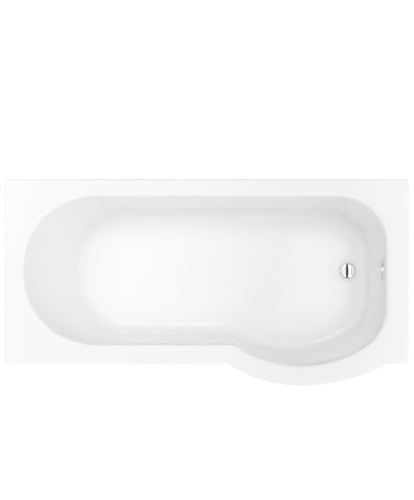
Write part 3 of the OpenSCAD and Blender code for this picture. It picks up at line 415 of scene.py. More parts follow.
def spun(radius, z, place=(0, 0, 0), turn=None):
    """Points and faces of a closed round body, its rings going once round the section.

    radius and z are (rings, angles) arrays: each point lies at that radius and height from the
    axis, and the last ring joins the first. place is the foot of the axis, and turn a 3x3 matrix
    whose last column is the axis.
    """
    radius, z = np.broadcast_arrays(radius, z)
    m, n = radius.shape
    t = TAU * np.arange(n) / n
    local = np.stack([radius * np.cos(t), radius * np.sin(t), z], -1).reshape(-1, 3)
    if turn is not None:
        local = local @ np.asarray(turn).T
    return local + np.asarray(place, float), grid_faces(m, n, loop=True)


def rings_of(profile, n):
    """Radius and height arrays for a section given as (radius, height) points."""
    profile = np.asarray(profile, float)
    return np.repeat(profile[:, :1], n, 1), np.repeat(profile[:, 1:2], n, 1)


def thread_rings(r, depth, pitch, z0, z1, n):
    """Rings of an outside thread: radius = r - depth * (1 - cos(tau * z / pitch - angle)) / 2."""
    z = np.linspace(z0, z1, int(abs(z1 - z0) / pitch * 6) + 2)[:, None]
    radius = r - depth * (1 - np.cos(TAU * z / pitch - TAU * np.arange(n) / n)) / 2
    # The thread runs out over its last half turn
    fade = np.clip(np.minimum(abs(z - z0), abs(z1 - z)) / (pitch / 2), 0, 1)
    return (r - depth) + (radius - r + depth) * fade, np.repeat(z, n, 1)


def stacked(*parts):
    """Radius and height arrays of several stretches, one after the other."""
    return np.vstack([p[0] for p in parts]), np.vstack([p[1] for p in parts])


def gathered(name, bodies):
    """One mesh from several bodies' points and faces, doubles merged and faces turned outwards."""
    base = np.cumsum([0] + [len(p) for p, _ in bodies])
    faces = [f + k for (_, f), k in zip(bodies, base)]
    obj = new_mesh(name, np.vstack([p for p, _ in bodies]), np.vstack(faces), weld=True)
    sharp_edges(obj)
    return obj


def revolved(name, profile, place, turn=None, n=96):
    """A round piece from its section's (radius, height) points."""
    return gathered(name, [spun(*rings_of(profile, n), place, turn)])


def rounded(corners, steps=4):
    """Section through corners (radius, height, rounding), each corner turned into an arc."""
    out = []
    for k, (x, y, r) in enumerate(corners):
        p = np.array([x, y], float)
        u = np.array(corners[k - 1][:2], float) - p
        v = np.array(corners[(k + 1) % len(corners)][:2], float) - p
        lu, lv = np.linalg.norm(u), np.linalg.norm(v)
        half = math.acos(np.clip(u @ v / (lu * lv), -0.99999, 0.99999)) / 2
        reach = min(r / math.tan(half), 0.49 * lu, 0.49 * lv)
        if reach < 1e-3:
            out.append(p)
            continue
        # A quadratic curve from one tangent point to the other, with the corner as its handle
        a, b = p + u / lu * reach, p + v / lv * reach
        t = np.linspace(0, 1, steps + 1)[:, None]
        out.extend(a * (1 - t) ** 2 + 2 * p * t * (1 - t) + b * t ** 2)
    return np.array(out)


def swept(path, along, side, radius, n, loop):
    """A round tube: a ring of each radius at each point of path, square to its direction.

    side is a fixed direction across the path. With loop the last ring joins the first, and
    otherwise both ends close on their middle points.
    """
    across = np.cross(side, along)
    across /= np.linalg.norm(across, axis=1, keepdims=True)
    up = np.cross(along, across)
    t = TAU * np.arange(n) / n
    ring = across[:, None] * np.cos(t)[:, None] + up[:, None] * np.sin(t)[:, None]
    rings = path[:, None] + ring * np.asarray(radius, float)[:, None, None]
    if not loop:
        rings = np.vstack([np.tile(path[:1], (n, 1))[None], rings, np.tile(path[-1:], (n, 1))[None]])
    return rings.reshape(-1, 3), grid_faces(len(rings), n, loop=loop)


def block(low, high, degrees=0):
    """Points and faces of a box between two corners, turned round the height axis."""
    (x0, y0, z0), (x1, y1, z1) = low, high
    points = [[x, y, z] for z in (z0, z1) for x, y in ((x0, y0), (x1, y0), (x1, y1), (x0, y1))]
    faces = [[0, 3, 2, 1], [4, 5, 6, 7], [0, 1, 5, 4], [1, 2, 6, 5], [2, 3, 7, 6], [3, 0, 4, 7]]
    c, d = math.cos(math.radians(degrees)), math.sin(math.radians(degrees))
    return np.array(points, float) @ np.array([[c, d, 0], [-d, c, 0], [0, 0, 1]]), np.array(faces)


def finish_piece(obj, *nodes, material=None):
    """Gives a piece the material, slot and body of the solids it stands for."""
    obj.data.materials.clear()
    obj.data.materials.append(material or MATERIAL_OF[SLOT_OF[nodes[0]]])
    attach(obj, BODY_OF[nodes[0]])
    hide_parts(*nodes)


def dressed(node, bevel, material=None):
    """A copy of a solid with its doubles merged, flat faces joined and edges broken by a bevel."""
    mesh = NODES[node].data.copy()
    b = bmesh.new()
    b.from_mesh(mesh)
    bmesh.ops.remove_doubles(b, verts=b.verts, dist=WELD / 2)
    bmesh.ops.dissolve_limit(b, angle_limit=math.radians(0.5), verts=b.verts, edges=b.edges)
    b.to_mesh(mesh)
    b.free()
    obj = bpy.data.objects.new(node + "_finished", mesh)
    bpy.context.scene.collection.objects.link(obj)
    edges = obj.modifiers.new("broken_edges", "BEVEL")
    edges.width = bevel * MM
    edges.segments = 2
    edges.limit_method = "ANGLE"
    edges.angle_limit = math.radians(40)
    apply_modifiers(obj)
    sharp_edges(obj, 40)
    # Flat faces keep their own normal, so the bevels don't shade them
    even = obj.modifiers.new("even_shading", "WEIGHTED_NORMAL")
    even.keep_sharp = True
    apply_modifiers(obj)
    finish_piece(obj, node, material=material)


# ---- materials


def linear(code):
    """sRGB hex code to the linear colour that a shader takes."""
    c = np.array([int(code[k:k + 2], 16) for k in (1, 3, 5)]) / 255
    return (*np.where(c <= 0.04045, c / 12.92, ((c + 0.055) / 1.055) ** 2.4).tolist(), 1.0)


def put(tree, kind, settings=None, links=None, into=None):
    """Adds a node with its properties or input values, and links its inputs from other sockets.

    Its first output is linked to the input into, if there is one.
    """
    node = tree.nodes.new("ShaderNode" + kind)
    for key, value in (settings or {}).items():
        if isinstance(key, str) and hasattr(node, key):
            setattr(node, key, value)
        else:
            node.inputs[key].default_value = value
    for key, socket in (links or {}).items():
        tree.links.new(socket, node.inputs[key])
    if into is not None:
        tree.links.new(node.outputs[0], into)
    return node


def start(name, colour, **surface):
    """A material with its shader: returns material, tree, shader and object coordinates in metres."""
    mat = bpy.data.materials.new(name)
    mat.use_nodes = True
    tree = mat.node_tree
    tree.nodes.clear()
    shader = put(tree, "BsdfPrincipled", {"Base Color": linear(colour), **surface})
    put(tree, "OutputMaterial", None, {"Surface": shader.outputs[0]})
    place = put(tree, "TexCoord").outputs["Object"]
    return mat, tree, shader, place


def grained(tree, shader, place, size, strength, distance=0.0002):
    """Bumps the surface with a fine grain; size and distance in metres."""
    grain = put(tree, "TexNoise", {"Scale": 1 / size, "Detail": 2.0}, {"Vector": place}).outputs[0]
    put(tree, "Bump", {"Strength": strength, "Distance": distance}, {"Height": grain},
        shader.inputs["Normal"])
    return grain


def shaded(tree, shader, factor, low, high, dark, light):
    """Colours the surface between two hex colours as factor goes from low to high."""
    ramp = put(tree, "ValToRGB", None, {"Fac": factor}, shader.inputs["Base Color"])
    for stop, at, code in zip(ramp.color_ramp.elements, (low, high), (dark, light)):
        stop.position = at
        stop.color = linear(code)


def gloss_acrylic():
    """Cast acrylic sheet drawn into a mould: white through and through, glossy, faintly wavy."""
    mat, tree, shader, place = start("gloss_acrylic", "#FBFBFB", Roughness=0.12, IOR=1.49)
    # The sheet stretches unevenly as it is drawn, which leaves a slow wave of about 60 mm
    grained(tree, shader, place, 0.06, 0.03, 0.002)
    return mat


def glass_strand(name, resin, strand, roughness):
    """Chopped glass strand wetted with polyester resin and rolled out: milky, lumpy, full of strands.

    Three layers of noise stretched along different directions make the strands, about 35 mm long
    and drawn 1.2 mm wide, so that they show; the brightest layer is on top.
    """
    mat, tree, shader, place = start(name, resin, Roughness=roughness, IOR=1.55)
    top = None
    for turn in (0.3, 1.35, 2.4):
        lay = put(tree, "Mapping",
                  {"vector_type": "TEXTURE", "Rotation": (turn, turn * 0.7, turn * 1.9),
                   "Scale": (0.035, 0.0012, 0.0012)}, {"Vector": place})
        strands = put(tree, "TexNoise", {"Scale": 1.0, "Detail": 1.5}, {"Vector": lay.outputs[0]})
        if top is None:
            top = strands.outputs[0]
        else:
            top = put(tree, "Math", {"operation": "MAXIMUM"},
                      {0: top, 1: strands.outputs[0]}).outputs[0]
    put(tree, "Bump", {"Strength": 0.5, "Distance": 0.0005}, {"Height": top}, shader.inputs["Normal"])
    shaded(tree, shader, top, 0.5, 0.72, resin, strand)
    return mat


def sawn_softwood(name, turn):
    """Sawn pine: pale, dry, with darker late wood every few millimetres; turn in degrees."""
    mat, tree, shader, place = start(name, "#D8B98A", Roughness=0.72, IOR=1.45)
    along = put(tree, "Mapping",
                {"vector_type": "TEXTURE", "Rotation": (0, 0, math.radians(turn)),
                 "Scale": (0.35, 0.005, 0.009)}, {"Vector": place})
    grain = put(tree, "TexNoise", {"Scale": 1.0, "Detail": 4.0, "Distortion": 0.4},
                {"Vector": along.outputs[0]})
    shaded(tree, shader, grain.outputs[0], 0.36, 0.62, "#B98C57", "#E0C497")
    put(tree, "Bump", {"Strength": 0.35, "Distance": 0.0004}, {"Height": grain.outputs[0]},
        shader.inputs["Normal"])
    return mat


def pressed_chipboard():
    """Chipboard: wood chips of 3 to 6 mm glued and pressed, so flecks of many tans with no grain."""
    mat, tree, shader, place = start("pressed_chipboard", "#C7A877", Roughness=0.75, IOR=1.45)
    chips = put(tree, "TexVoronoi", {"Scale": 1 / 0.005}, {"Vector": place})
    shaded(tree, shader, chips.outputs["Color"], 0.1, 0.9, "#A98755", "#DDC496")
    return mat


def galvanised_sheet():
    """Steel sheet dipped in zinc: dull grey, its crystals of about 12 mm each catching the light."""
    mat, tree, shader, place = start("galvanised_sheet", "#B9BDC0", Metallic=1.0, Roughness=0.42)
    crystals = put(tree, "TexVoronoi", {"Scale": 1 / 0.012}, {"Vector": place})
    shaded(tree, shader, crystals.outputs["Color"], 0.0, 1.0, "#A3A7AA", "#CDD1D3")
    put(tree, "MapRange", {"To Min": 0.3, "To Max": 0.55}, {"Value": crystals.outputs["Color"]},
        shader.inputs["Roughness"])
    return mat


def zinc_plated_steel():
    """Electroplated zinc with a clear blue passivation: bright, smooth, slightly cold and uneven."""
    mat, tree, shader, place = start("zinc_plated_steel", "#C6CBD1", Metallic=1.0, Roughness=0.27)
    cloud = put(tree, "TexNoise", {"Scale": 1 / 0.008, "Detail": 3.0}, {"Vector": place})
    shaded(tree, shader, cloud.outputs[0], 0.3, 0.7, "#B7BDC6", "#D3D6D8")
    return mat


def bright_chrome():
    """Chromium plated over polished brass: a hard, nearly perfect mirror, faintly blue."""
    mat, tree, shader, place = start("bright_chrome", "#EBEDEF", Metallic=1.0, Roughness=0.035)
    # Polishing leaves hairlines; about 0.8 mm here, finer on the real plate
    grained(tree, shader, place, 0.0008, 0.012, 0.00005)
    return mat


def moulded_nylon():
    """Glass-filled nylon, injection moulded: near black, satin, with a fine spark-eroded grain."""
    mat, tree, shader, place = start("moulded_nylon", "#1B1C1E", Roughness=0.45, IOR=1.53)
    grained(tree, shader, place, 0.0009, 0.25)
    return mat


def moulded_rubber():
    """Moulded seal rubber: black with a faint grey bloom, matt."""
    mat, tree, shader, place = start("moulded_rubber", "#1C1D1D", Roughness=0.62, IOR=1.52)
    bloom = grained(tree, shader, place, 0.006, 0.1)
    shaded(tree, shader, bloom, 0.35, 0.75, "#191A1A", "#2B2C2C")
    return mat


def moulded_polypropylene(name, dark, light):
    """Injection-moulded polypropylene: waxy satin, with slow flow marks of about 25 mm."""
    mat, tree, shader, place = start(name, light, Roughness=0.36, IOR=1.49)
    flow = grained(tree, shader, place, 0.025, 0.06, 0.001)
    shaded(tree, shader, flow, 0.3, 0.7, dark, light)
    return mat


def blown_polythene():
    """Corrugated polythene hose, blown in a chain of moulds: thin, waxy, slightly cloudy."""
    mat, tree, shader, place = start("blown_polythene", "#DCDDDB", Roughness=0.33, IOR=1.51)
    cloud = grained(tree, shader, place, 0.01, 0.08, 0.0005)
    shaded(tree, shader, cloud, 0.3, 0.7, "#CFD0CE", "#E3E4E2")
    return mat


def turned_brass():
    """Brass turned from bar: yellow, bright, with rings 0.5 mm apart left by the tool."""
    mat, tree, shader, place = start("turned_brass", "#D8B46C", Metallic=1.0, Roughness=0.24)
    rings = put(tree, "TexWave", {"bands_direction": "Z", "Scale": 1 / 0.0005 / TAU},
                {"Vector": place})
    put(tree, "Bump", {"Strength": 0.08, "Distance": 0.0001}, {"Height": rings.outputs["Fac"]},
        shader.inputs["Normal"])
    return mat


def drawn_spring_wire():
    """Cold-drawn steel wire: grey, satin, with die lines along it."""
    mat, tree, shader, place = start("drawn_spring_wire", "#B5B9BD", Metallic=1.0, Roughness=0.3)
    grained(tree, shader, place, 0.0006, 0.1, 0.0001)
    return mat


PINE_ACROSS = sawn_softwood("sawn_pine_crossways", 90)
MATERIAL_OF = {
    "acrylic": gloss_acrylic(),
    "glass_fibre": glass_strand("sprayed_glass_fibre", "#C3BDA4", "#E9E5D6", 0.42),
    "laid_resin": glass_strand("laid_glass_fibre_over_board", "#BFB594", "#E2DBC2", 0.36),
    "chipboard": pressed_chipboard(),
    "softwood": sawn_softwood("sawn_pine_lengthways", 0),
    "galvanised_steel": galvanised_sheet(),
    "zinc_plated_steel": zinc_plated_steel(),
    "black_nylon": moulded_nylon(),
    "chrome_plate": bright_chrome(),
    "seal_rubber": moulded_rubber(),
    "white_polypropylene": moulded_polypropylene("white_polypropylene", "#DEDEDB", "#ECECE9"),
    "grey_polypropylene": moulded_polypropylene("grey_polypropylene", "#84888C", "#979B9F"),
    "hose_polythene": blown_polythene(),
    "brass": turned_brass(),
    "spring_steel": drawn_spring_wire(),
}

# ---- acrylic shell and its backing

RECESS_Z = FLOOR_Z - RECESS_H
BOSS_R = X_FOOT - DECK_FOOT - INSET_FOOT - WASTE_X - 0.5  # just inside the floor's edge
BOSS_Z = RECESS_Z - SHELL_T


def formed_sheet(name, front, rear, hole):
    """A closed sheet: rings of the front and the rear face, and rings through the waste hole.

    Front and rear rings go from the rim to the floor; the hole's go from the front floor through
    the hole and back out to the rear floor. The flat floors are filled between ring and hole.
    """
    n, m = front.shape[1], hole.shape[1]
    rear_at, hole_at = len(front) * n, (len(front) + len(rear)) * n
    i = np.arange(n)
    j = (i + 1) % n
    quads = np.vstack([
        grid_faces(len(front), n),
        grid_faces(len(rear), n, rear_at, outward=False),
        np.stack([i, rear_at + i, rear_at + j, j], 1),
        grid_faces(len(hole), m, hole_at),
    ])
    hole_end = hole_at + (len(hole) - 1) * m
    tris = np.vstack([
        flat_fill(front[-1][:, :2], hole[0][:, :2], rear_at - n, hole_at, True),
        flat_fill(rear[-1][:, :2], hole[-1][:, :2], hole_at - n, hole_end, False),
    ])
    points = np.vstack([front.reshape(-1, 3), rear.reshape(-1, 3), hole.reshape(-1, 3)])
    return new_mesh(name, points, quads.tolist() + tris.tolist())


def hole_rings(rows):
    """Rings round the waste from (radius, height, share of the floor's slope) rows."""
    out = []
    for r, z, share in rows:
        xy = circle(r)
        out.append(np.column_stack([xy, z + share * (floor_at(xy[:, 0]) - FLOOR_Z)]))
    return np.array(out)


BASIN, BASIN_N = basin_rings()


def acrylic_shell():
    """The formed sheet with its round recess, boss and waste hole.

    The recess's edge bends down with radius e, and its floor meets the side with radius f.
    """
    front = np.vstack([edge_rings(0), deck_rings(8, EDGE_R, RIM_H), BASIN])
    rear = np.vstack([edge_rings(SHELL_T), deck_rings(8, EDGE_R, RIM_H - SHELL_T),
                      BASIN - SHELL_T * BASIN_N])
    r0, r1, e, f = RECESS_D / 2, WASTE_HOLE_D / 2, 1.2, 1.0
    rows = [(r0 + e * (1 - math.sin(a)), FLOOR_Z - e * (1 - math.cos(a)), 1 - 0.4 * a)
            for a in np.linspace(0, math.pi / 2, 5)]
    rows += [(r0 - f * (1 - math.cos(a)), RECESS_Z + f * (1 - math.sin(a)), 0)
             for a in np.linspace(0, math.pi / 2, 5)]
    rows += [(r0 - 8, RECESS_Z, 0), (r1 + 6, RECESS_Z, 0), (r1 + 0.8, RECESS_Z, 0),
             (r1, RECESS_Z - 0.8, 0), (r1, BOSS_Z, 0), (BOSS_R - 1, BOSS_Z, 0),
             (BOSS_R, BOSS_Z + 1, 0), (BOSS_R, FLOOR_Z - SHELL_T, 1)]
    return formed_sheet("acrylic_shell", front, rear, hole_rings(rows))


def wander(points, size):
    """Smooth uneven value from -1 to 1 at each point: the mean of four slanted sines, size in mm."""
    p = np.asarray(points) / size
    return (np.sin(p @ [2.1, 1.3, 0.7] + 1.0) + np.sin(p @ [-1.2, 2.3, 1.9] + 2.0)
            + np.sin(p @ [0.9, -1.7, 2.6] + 4.0) + np.sin(p @ [2.9, 0.4, -1.5] + 5.0)) / 4


def glass_fibre_backing():
    """The sprayed layer behind the sheet, uneven by a few tenths of a millimetre.

    A wander of 9 mm and one of 4 mm are added, and fade to nothing at the lip and at the floor.
    """
    edge_in = EDGE_R + SHELL_T + BATTEN_GAP
    front = np.vstack([deck_rings(5, edge_in, RIM_H - SHELL_T), BASIN - SHELL_T * BASIN_N])
    deck = deck_rings(5, edge_in + GRP_T * 0.5, RIM_H - SHELL_T - GRP_T)
    wall = BASIN - (SHELL_T + GRP_T) * BASIN_N
    uneven = 0.35 * wander(wall, 9.0)[..., None] + 0.25 * wander(wall, 4.0)[..., None] - 0.3
    middle = np.sin(math.pi * np.arange(len(wall)) / (len(wall) - 1))[:, None, None]
    rear = np.vstack([deck, wall + uneven * middle * BASIN_N])
    r = BOSS_R + 0.2
    rows = [(r, FLOOR_Z - SHELL_T, 1), (r, FLOOR_Z - SHELL_T - GRP_T, 1)]
    return formed_sheet("glass_fibre_backing", front, rear, hole_rings(rows))


def end_wall():
    """Middle of the overflow on the end wall, and the turn whose last column points out of it."""
    depth = RIM_H - floor_at(X_FOOT - DECK_FOOT - INSET_FOOT)
    slope = float(wall_slope(INSET_FOOT, depth, LIP_R + FILLET_FOOT))
    x = X_FOOT - DECK_FOOT - LIP_R * math.sin(slope)
    x -= (OVERFLOW_DROP - LIP_R * (1 - math.cos(slope))) / math.tan(slope)
    c, d = math.cos(slope), math.sin(slope)
    turn = np.array([[c, 0, -d], [0, 1, 0], [d, 0, c]])
    return np.array([x, WASTE_Y, RIM_H - OVERFLOW_DROP]), turn


OVERFLOW_AT, WALL_TURN = end_wall()
WALL_OUT = WALL_TURN[:, 2]

shell = acrylic_shell()
cut_round(shell, OVERFLOW_AT, WALL_OUT, OVERFLOW_HOLE_D / 2, 6 * SHELL_T)
sharp_edges(shell, 38)
finish_piece(shell, "bath_shell")
backing = glass_fibre_backing()
cut_round(backing, OVERFLOW_AT, WALL_OUT, OVERFLOW_HOLE_D / 2, 6 * SHELL_T)
sharp_edges(backing, 38)
finish_piece(backing, "grp_backing")

# ---- boards, battens, rails and brackets

dressed("baseboard", 0.3)
dressed("board_encapsulation", 0.8)
for node in ("batten_back", "batten_front", "batten_bulge"):
    dressed(node, 1.2)
for node in ("batten_head", "batten_foot"):
    dressed(node, 1.2, PINE_ACROSS)
for node in ("rail_head", "rail_foot", "wall_brackets", "centre_plate"):
    dressed(node, 0.5)

# ---- screws, nuts, threaded rods and feet


def pan_screw(place):
    """Pan-head wood screw driven upwards, its head below place, with a cross recess and a thread.

    The head's face is a shallow dome, less a cross whose arms reach as far as |cos(2 angle)| says.
    """
    n, shank = 32, SCREW_D / 2
    t = TAU * np.arange(n) / n
    r = HEAD_D / 2 * np.linspace(0, 1, 14)[:, None]
    dome = HEAD_H * (0.35 + 0.65 * np.sqrt(np.clip(1 - (r / (HEAD_D / 2)) ** 2, 0, 1)))
    arms = 0.09 * HEAD_D + 0.17 * HEAD_D * np.abs(np.cos(2 * t)) ** 6
    face = (np.repeat(r, n, 1), -dome + 0.5 * HEAD_H * np.clip((arms - r) / (0.05 * HEAD_D), 0, 1))
    root = shank * 0.72
    thread = thread_rings(shank, shank - root, SCREW_PITCH, 2.5, SCREW_L - 3, n)
    under = rings_of([(HEAD_D / 2, 0), (shank, 0), (shank, 2.2)], n)
    point = rings_of([(root * 0.7, SCREW_L - 1.5), (0, SCREW_L)], n)
    return spun(*stacked(face, under, thread, point), place)


def screws_from(node):
    """One pan-head screw where each separate solid of the node is; screws point up."""
    b = bmesh.new()
    b.from_mesh(NODES[node].data)
    bmesh.ops.remove_doubles(b, verts=b.verts, dist=WELD / 2)
    left, bodies = set(b.verts), []
    while left:
        stack, group = [left.pop()], []
        while stack:
            v = stack.pop()
            group.append(v.co)
            for e in v.link_edges:
                w = e.other_vert(v)
                if w in left:
                    left.remove(w)
                    stack.append(w)
        corner = np.array(group) / MM
        low, high = corner.min(0), corner.max(0)
        bodies.append(pan_screw([(low[0] + high[0]) / 2, (low[1] + high[1]) / 2, low[2] + HEAD_H]))
    b.free()
    finish_piece(gathered(node + "_finished", bodies), node)


for node in ("rail_screws", "centre_plate_screws", "bracket_screws"):
    screws_from(node)


def middle_of(node):
    """Middle of a node's box in plan, and its lowest and highest point, in millimetres."""
    low, high = (np.array(c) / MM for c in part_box(node))
    return (low[0] + high[0]) / 2, (low[1] + high[1]) / 2, low[2], high[2]


def hexagon(half, t):
    """Radius at the angles t of a hexagon whose sides lie half mm from its middle."""
    return half / np.cos((t % (TAU / 6)) - TAU / 12)


def hexagon_nut(place):
    """Hexagon nut, chamfered: the hexagon's radius, or the chamfer cone's where that is less."""
    n = 96
    t = TAU * np.arange(n) / n
    flat, bore = 1.73 * ROD_D / 2 * math.cos(math.pi / 6), ROD_D / 2 + RUN_GAP
    ease = np.array([0, 0.25, 0.6, 1.1, 1.8])
    z = np.concatenate([ease, NUT_H - ease[::-1]])[:, None]
    outside = np.minimum(hexagon(flat, t), flat * 0.955 + 1.8 * np.minimum(z, NUT_H - z)), np.repeat(z, n, 1)
    top = rings_of([(bore + 0.9, NUT_H), (bore, NUT_H - 0.9)], n)
    foot = rings_of([(bore, 0.9), (bore + 0.9, 0)], n)
    return spun(*stacked(foot, outside, top), place)


def threaded_rod(name):
    """Steel rod of a foot, threaded from end to end."""
    x, y, z0, z1 = middle_of("foot_rod_" + name)
    end = ROD_D / 2 - 1.2
    thread = thread_rings(ROD_D / 2, 1.0, ROD_PITCH, z0 + 0.4, z1 - 0.4, 24)
    rings = stacked(rings_of([(0, z0), (end, z0)], 24), thread, rings_of([(end, z1), (0, z1)], 24))
    finish_piece(gathered("threaded_rod_" + name, [spun(*rings, (x, y, 0))]), "foot_rod_" + name)


def levelling_pad(name):
    """Nylon pad of a foot: a wide round base, and a neck with a socket for the rod."""
    x, y = middle_of("foot_rod_" + name)[:2]
    r, rod, socket = PAD_D / 2, ROD_D / 2, ROD_D / 2 + RUN_GAP
    section = rounded([
        (0, 0.6, 0), (r - 6, 0.6, 0.3), (r - 5.4, 0, 0.3), (r - 0.6, 0, 0.6), (r, 1, 0.8), (r, 5, 1.2),
        (rod + 5.5, 6.5, 2), (rod + 4.4, PAD_H, 1), (socket + 0.8, PAD_H, 0.3),
        (socket, PAD_H - 0.8, 0.3), (socket, SOCKET_Z, 0), (0, SOCKET_Z, 0)])
    pad = revolved("levelling_pad_" + name, section, (x, y, middle_of("foot_pad_" + name)[2]))
    finish_piece(pad, "foot_pad_" + name)


FEET = ("head_back", "head_front", "waste_back", "waste_front", "centre")
for name in FEET:
    threaded_rod(name)
    levelling_pad(name)

SEATS = [middle_of("foot_rod_" + name)[:2] for name in FEET]
RAIL_TOP = middle_of("lock_nuts_upper")[2]
UNDER_RAIL = middle_of("lock_nuts_lower")[3] - NUT_H
UNDER_SOCKET = middle_of("lock_nuts_lower")[2]
upper = [hexagon_nut((x, y, RAIL_TOP)) for x, y in SEATS[:4]]
lower = [hexagon_nut((x, y, UNDER_RAIL)) for x, y in SEATS[:4]]
lower.append(hexagon_nut((*SEATS[4], UNDER_SOCKET)))
finish_piece(gathered("lock_nuts_above_rails", upper), "lock_nuts_upper")
finish_piece(gathered("lock_nuts_below_rails", lower), "lock_nuts_lower")

# ---- waste

FLANGE_Z = RECESS_Z + GASKET_T
TAIL_Z = FLANGE_Z - TAIL_L
BODY_TOP = BOSS_Z - REAR_GASKET_T
NECK_Z = TAIL_Z - 2
INLET_Z = BODY_TOP - INLET_DROP
CAP_Z = FLANGE_Z + BOWL_FLOOR + CAP_GAP
COLLAR_Z = TAIL_Z + CATCH_H - 5
AT_WASTE = (WASTE_X, WASTE_Y, 0)
# A turn whose last column, the axis, points along +x
TO_HOSE = np.array([[0, 0, 1.0], [0, 1, 0], [-1, 0, 0]])


def seal_ring(name, node, outer_d, inner_d, low, high, place=AT_WASTE, turn=None):
    """A flat rubber ring with rounded edges."""
    e = min(0.6, (high - low) / 3)
    r0, r1 = inner_d / 2, outer_d / 2
    section = rounded([(r0, low, e), (r1, low, e), (r1, high, e), (r0, high, e)])
    finish_piece(revolved(name, section, place, turn), node)


seal_ring("flange_gasket", "waste_gasket_top", FLANGE_D - 5, WASTE_HOLE_D - 2, RECESS_Z, FLANGE_Z)
seal_ring("rear_gasket", "waste_gasket_bottom", REAR_GASKET_D, WASTE_HOLE_D + 1, BODY_TOP, BOSS_Z)
CAP_SEAL_D = CAP_D - 2 * CAP_SEAL_IN
seal_ring("cap_seal", "plug_seal", CAP_SEAL_D, CAP_SEAL_D - 2 * CAP_SEAL_W, FLANGE_Z + 1.2, CAP_Z)


def waste_flange():
    """Chrome flange with a dished bowl, and its threaded tail with windows and the catch's hub."""
    n, bowl = 128, CAP_D / 2 + 0.8
    inner, r, z = TAIL_D / 2 - TAIL_WALL, FLANGE_D / 2, FLANGE_Z
    face = rounded([
        (inner, z + BOWL_FLOOR, 0.5), (bowl - 7, z + BOWL_FLOOR, 3), (bowl - 0.8, z + 1.4, 0.8),
        (bowl, z + 4.4, 0.5), (bowl + 0.9, z + 5, 0.5), (r - 2.5, z + 4.7, 2.5), (r, z + 2.2, 2),
        (r, z + 0.6, 0.6), (r - 2, z, 0.4), (TAIL_D / 2, z, 0.4), (TAIL_D / 2, z - 3, 0)], 5)
    thread = thread_rings(TAIL_D / 2, 1.2, PIPE_PITCH, FLANGE_Z - 4, TAIL_Z + 1, n)
    foot = rings_of([(TAIL_D / 2 - 1.2, TAIL_Z), (inner, TAIL_Z)], n)
    obj = gathered("waste_flange_and_tail", [spun(*stacked(rings_of(face, n), thread, foot), AT_WASTE)])
    for size in ((TAIL_D, WINDOW_W / 2), (WINDOW_W / 2, TAIL_D)):
        low = (WASTE_X - size[0], WASTE_Y - size[1], TAIL_Z + WINDOW_FROM)
        high = (WASTE_X + size[0], WASTE_Y + size[1], TAIL_Z + WINDOW_TO)
        combined(obj, new_mesh("window", *block(low, high), smooth=False), "DIFFERENCE")
    bore, hub, top, half = (CATCH_D + FIT_GAP) / 2, HUB_D / 2, TAIL_Z + HUB_H, SPOKE_W / 2
    section = [(bore, TAIL_Z), (hub, TAIL_Z), (hub, top), (bore, top)]
    combined(obj, revolved("hub", section, AT_WASTE, n=64), "UNION")
    for turn in (0, 120, 240):
        # Each spoke ends inside the hub and inside the tail's wall, and a little short of their faces
        points, faces = block((hub - 0.5, -half, TAIL_Z + 0.1), (inner + 0.6, half, top - 0.1), turn)
        combined(obj, new_mesh("spoke", points + AT_WASTE, faces, smooth=False), "UNION")
    sharp_edges(obj)
    finish_piece(obj, "waste_flange")


waste_flange()


def click_cap():
    """Chrome cap on its stem: a low dome whose height falls with the square of the radius."""
    r, stem_r, collar, low, high = CAP_D / 2, STEM_D / 2, COLLAR_D / 2, TAIL_Z + 1, COLLAR_Z + COLLAR_H
    stem = rounded([
        (0, low, 0), (stem_r, low, 0.6), (stem_r, COLLAR_Z, 0), (collar, COLLAR_Z, 0.4),
        (collar, high, 0.4), (stem_r, high, 0), (stem_r, CAP_Z, 0.5), (r - 5, CAP_Z, 0.5),
        (r - 0.6, CAP_Z + 0.7, 0.8), (r, CAP_Z + 2.2, 1.2), (r - 1.2, CAP_Z + 4.0, 1.5)])
    dome_r = np.linspace(r - 2.6, 0, 24)
    dome = np.column_stack([dome_r, CAP_Z + 6.4 - 2.0 * (dome_r / (r - 2.6)) ** 2])
    obj = revolved("click_cap_and_stem", np.vstack([stem, dome]), AT_WASTE, n=160)
    finish_piece(obj, "waste_plug")


def catch_barrel():
    """Brass barrel in the flange's hub, with the stem's bore below and the spring's above."""
    stem, bore, r = STEM_D / 2 + RUN_GAP, CATCH_BORE / 2, CATCH_D / 2
    floor, top = TAIL_Z + GUIDE_L, TAIL_Z + CATCH_H
    section = rounded([(stem, TAIL_Z, 0.3), (r, TAIL_Z, 0.8), (r, top, 0.6), (bore, top, 0.4),
                       (bore, floor, 0), (stem, floor, 0.3)])
    finish_piece(revolved("catch_barrel", section, AT_WASTE, n=64), "click_cartridge")


def catch_spring():
    """Round wire on a helix: radius SPRING_R, its height climbing evenly with the angle."""
    low, high = TAIL_Z + GUIDE_L + WIRE_R, COLLAR_Z - WIRE_R - 0.3
    turn = TAU * TURNS * np.linspace(0, 1, 24 * TURNS + 1)
    climb = (high - low) / turn[-1]
    x, y = SPRING_R * np.cos(turn), SPRING_R * np.sin(turn)
    coil = np.stack([x, y, low + climb * turn], 1)
    along = np.stack([-y, x, np.full(len(turn), climb)], 1)
    along /= np.linalg.norm(along, axis=1, keepdims=True)
    wire = swept(coil + AT_WASTE, along, (0, 0, 1), np.full(len(coil), WIRE_R), 12, False)
    finish_piece(gathered("catch_spring", [wire]), "click_spring")


click_cap()
catch_barrel()
catch_spring()


